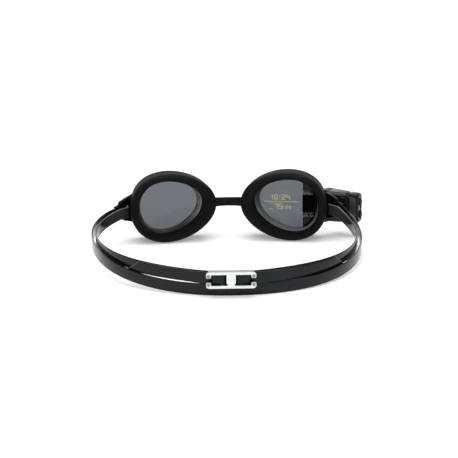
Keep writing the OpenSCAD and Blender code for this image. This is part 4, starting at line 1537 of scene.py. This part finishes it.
def stage_finish(name, tint):
    """Pale stage: diffuse near the goggles; further off, white to the eye, in gloss and through glass."""
    material = bpy.data.materials.new(name)
    material.use_nodes = True
    tree = material.node_tree
    tree.nodes.clear()
    link = tree.links.new

    def node(kind, operation=None):
        made = tree.nodes.new(kind)
        if operation:
            made.operation = operation
        return made

    out = node("ShaderNodeOutputMaterial")
    both = node("ShaderNodeAddShader")
    plain = node("ShaderNodeBsdfDiffuse")
    plain.inputs["Color"].default_value = (*tint, 1.0)
    bright = node("ShaderNodeEmission")
    path = node("ShaderNodeLightPath")
    either = node("ShaderNodeMath", "MAXIMUM")
    any_of = node("ShaderNodeMath", "MAXIMUM")
    part = node("ShaderNodeMath", "MULTIPLY")
    place = node("ShaderNodeTexCoord")
    reach = node("ShaderNodeVectorMath", "LENGTH")
    fade = node("ShaderNodeMapRange")
    fade.interpolation_type = "SMOOTHSTEP"
    fade.inputs["From Min"].default_value = FADE_FROM
    fade.inputs["From Max"].default_value = FADE_TO
    fade.inputs["To Min"].default_value = FADE_LOW
    link(path.outputs["Is Camera Ray"], either.inputs[0])
    link(path.outputs["Is Glossy Ray"], either.inputs[1])
    link(either.outputs[0], any_of.inputs[0])
    link(path.outputs["Is Transmission Ray"], any_of.inputs[1])
    link(place.outputs["Object"], reach.inputs[0])
    link(reach.outputs["Value"], fade.inputs["Value"])
    link(any_of.outputs[0], part.inputs[0])
    link(fade.outputs["Result"], part.inputs[1])
    link(part.outputs[0], bright.inputs["Strength"])
    link(plain.outputs[0], both.inputs[0])
    link(bright.outputs[0], both.inputs[1])
    link(both.outputs[0], out.inputs["Surface"])
    return material


def soft_light(name, place, target, wide, tall, power):
    """A soft box that points at a target."""
    data = bpy.data.lights.new(name, "AREA")
    data.shape = "RECTANGLE"
    data.size = wide
    data.size_y = tall
    data.energy = power
    made = bpy.data.objects.new(name, data)
    bpy.context.scene.collection.objects.link(made)
    made.location = place
    made.rotation_euler = (Vector(target) - Vector(place)).to_track_quat("-Z", "Y").to_euler()


CAMERA_DISTANCE = 1.28
CAMERA_RISE = math.radians(15.7)
CAMERA_ROLL = math.radians(0.85)
CAMERA_SIDE = 0.0001
CAMERA_LENS = 153.28
SENSOR_WIDTH = 36.0
CAMERA_CLIP_END = 30.0
TARGET_BACK = 0.04
TARGET_HEIGHT = 0.01776
FLOOR_REACH = 6.0
FLOOR_SINK = 0.00005
BACKDROP_AT = 2.4
BACKDROP_BEND = 1.2
BACKDROP_RISE = 5.0
BACKDROP_STEPS = 16
SKY = (0.9, 0.95, 1.0, 1.0)
SKY_STRENGTH = 0.12
# Soft boxes: name, place, target, width, height and power
SOFT_BOXES = (("overhead", (0.0, 0.1, 1.7), (0.0, 0.1, 0.0), 1.6, 1.2, 26.7),
              ("front", (0.0, -1.5, 1.5), (0.0, -0.05, 0.02), 1.6, 0.8, 12.0),
              ("left_strip", (-1.2, -0.8, 0.5), (0.0, 0.0, 0.02), 0.4, 0.6, 4.0),
              ("right_strip", (1.2, -0.8, 0.5), (0.0, 0.0, 0.02), 0.4, 0.6, 4.0))


def stage_camera():
    """Camera at the photograph's angle."""
    scene = bpy.context.scene
    target = Vector((CAMERA_SIDE, face_y() - TARGET_BACK, TARGET_HEIGHT))
    data = bpy.data.cameras.new("camera")
    data.lens = CAMERA_LENS
    data.sensor_width = SENSOR_WIDTH
    data.clip_end = CAMERA_CLIP_END
    camera = bpy.data.objects.new("camera", data)
    scene.collection.objects.link(camera)
    camera.location = target + Vector((0, -math.cos(CAMERA_RISE), math.sin(CAMERA_RISE))) * CAMERA_DISTANCE
    aim = (target - camera.location).to_track_quat("-Z", "Y") @ Quaternion((0, 0, 1), -CAMERA_ROLL)
    camera.rotation_euler = aim.to_euler()
    scene.camera = camera


def stage_floor():
    """Pale floor that bends up into a backdrop."""
    profile = [(-FLOOR_REACH, 0.0)]
    for i in range(BACKDROP_STEPS + 1):
        a = math.pi / 2 * i / BACKDROP_STEPS
        profile.append((BACKDROP_AT + BACKDROP_BEND * math.sin(a), BACKDROP_BEND * (1 - math.cos(a))))
    profile.append((BACKDROP_AT + BACKDROP_BEND, BACKDROP_RISE))
    points = []
    faces = []
    for i, (y, z) in enumerate(profile):
        points += [(-FLOOR_REACH, y, z - FLOOR_SINK), (FLOOR_REACH, y, z - FLOOR_SINK)]
        if i:
            faces.append((2 * i - 2, 2 * i - 1, 2 * i + 1, 2 * i))
    mesh = bpy.data.meshes.new("floor")
    mesh.from_pydata(points, [], faces)
    for face in mesh.polygons:
        face.use_smooth = True
    floor = bpy.data.objects.new("floor", mesh)
    bpy.context.scene.collection.objects.link(floor)
    mesh.materials.append(stage_finish("pale_floor", colours().floor))


def build_stage():
    """Camera, pale floor and backdrop, soft studio light."""
    scene = bpy.context.scene
    scene.view_settings.view_transform = "Standard"
    stage_camera()
    stage_floor()
    scene.world = bpy.data.worlds.new("studio")
    scene.world.use_nodes = True
    sky = scene.world.node_tree.nodes["Background"]
    sky.inputs["Color"].default_value = SKY
    sky.inputs["Strength"].default_value = SKY_STRENGTH
    for box in SOFT_BOXES:
        soft_light(*box)


# Operators, panel and registration


class GOGGLES_OT_stage(bpy.types.Operator):
    """Camera, floor and light."""

    bl_idname = "goggles.stage"
    bl_label = "Stage"

    def execute(self, context):
        build_stage()
        return {"FINISHED"}


class GOGGLES_OT_seals(bpy.types.Operator):
    """Soft silicone seals of both cups."""

    bl_idname = "goggles.seals"
    bl_label = "Eye seals"

    def execute(self, context):
        build_seals()
        return {"FINISHED"}


class GOGGLES_OT_frames(bpy.types.Operator):
    """Gloss frames with window walls, sockets and tongues."""

    bl_idname = "goggles.frames"
    bl_label = "Frames"

    def execute(self, context):
        build_frames()
        return {"FINISHED"}


class GOGGLES_OT_lenses(bpy.types.Operator):
    """Smoked lenses."""

    bl_idname = "goggles.lenses"
    bl_label = "Lenses"

    def execute(self, context):
        build_lenses()
        return {"FINISHED"}


class GOGGLES_OT_bridge(bpy.types.Operator):
    """Bar between the cups."""

    bl_idname = "goggles.bridge"
    bl_label = "Nose bridge"

    def execute(self, context):
        build_bridge()
        return {"FINISHED"}


class GOGGLES_OT_strap(bpy.types.Operator):
    """Split silicone strap."""

    bl_idname = "goggles.strap"
    bl_label = "Strap"

    def execute(self, context):
        build_strap()
        return {"FINISHED"}


class GOGGLES_OT_clip(bpy.types.Operator):
    """Clear strap clip."""

    bl_idname = "goggles.clip"
    bl_label = "Clip"

    def execute(self, context):
        build_clip()
        return {"FINISHED"}


class GOGGLES_OT_pod(bpy.types.Operator):
    """Display pod on the right frame."""

    bl_idname = "goggles.pod"
    bl_label = "Pod"

    def execute(self, context):
        build_pod()
        return {"FINISHED"}


class GOGGLES_OT_buttons(bpy.types.Operator):
    """Push buttons of the pod."""

    bl_idname = "goggles.buttons"
    bl_label = "Buttons"

    def execute(self, context):
        build_buttons()
        return {"FINISHED"}


class GOGGLES_OT_optics(bpy.types.Operator):
    """Light guide and projector."""

    bl_idname = "goggles.optics"
    bl_label = "Display optics"

    def execute(self, context):
        build_optics()
        return {"FINISHED"}


class GOGGLES_OT_numbers(bpy.types.Operator):
    """Glowing numbers of the display."""

    bl_idname = "goggles.numbers"
    bl_label = "Numbers"

    def execute(self, context):
        build_numbers()
        return {"FINISHED"}


class GOGGLES_OT_insides(bpy.types.Operator):
    """Finishes of the pieces inside the pod."""

    bl_idname = "goggles.insides"
    bl_label = "Insides"

    def execute(self, context):
        dress_insides()
        return {"FINISHED"}


OPERATORS = [GOGGLES_OT_stage, GOGGLES_OT_seals, GOGGLES_OT_frames, GOGGLES_OT_lenses,
             GOGGLES_OT_bridge, GOGGLES_OT_strap, GOGGLES_OT_clip, GOGGLES_OT_pod,
             GOGGLES_OT_buttons, GOGGLES_OT_optics, GOGGLES_OT_numbers, GOGGLES_OT_insides]


class GOGGLES_PT_panel(bpy.types.Panel):
    """Lists the goggles' builders."""

    bl_idname = "GOGGLES_PT_panel"
    bl_label = "Swim Goggles"
    bl_space_type = "VIEW_3D"
    bl_region_type = "UI"
    bl_category = "Goggles"

    def draw(self, context):
        for builder in OPERATORS:
            self.layout.operator(builder.bl_idname)


CLASSES = [GoggleSizes, GoggleColours, DisplayText, *OPERATORS, GOGGLES_PT_panel]


def register():
    """Adds the classes and the scene's properties."""
    for made in CLASSES:
        bpy.utils.register_class(made)
    bpy.types.Scene.goggle_sizes = PointerProperty(type=GoggleSizes)
    bpy.types.Scene.goggle_colours = PointerProperty(type=GoggleColours)
    bpy.types.Scene.goggle_text = PointerProperty(type=DisplayText)


def unregister():
    """Removes the classes and the scene's properties."""
    del bpy.types.Scene.goggle_sizes
    del bpy.types.Scene.goggle_colours
    del bpy.types.Scene.goggle_text
    for made in reversed(CLASSES):
        bpy.utils.unregister_class(made)


def main():
    """Builds the goggles."""
    register()
    FINISH.update(make_finishes())
    for builder in OPERATORS:
        getattr(bpy.ops.goggles, builder.bl_idname.split(".")[1])()
    bpy.context.view_layer.update()


if __name__ == "__main__":
    main()
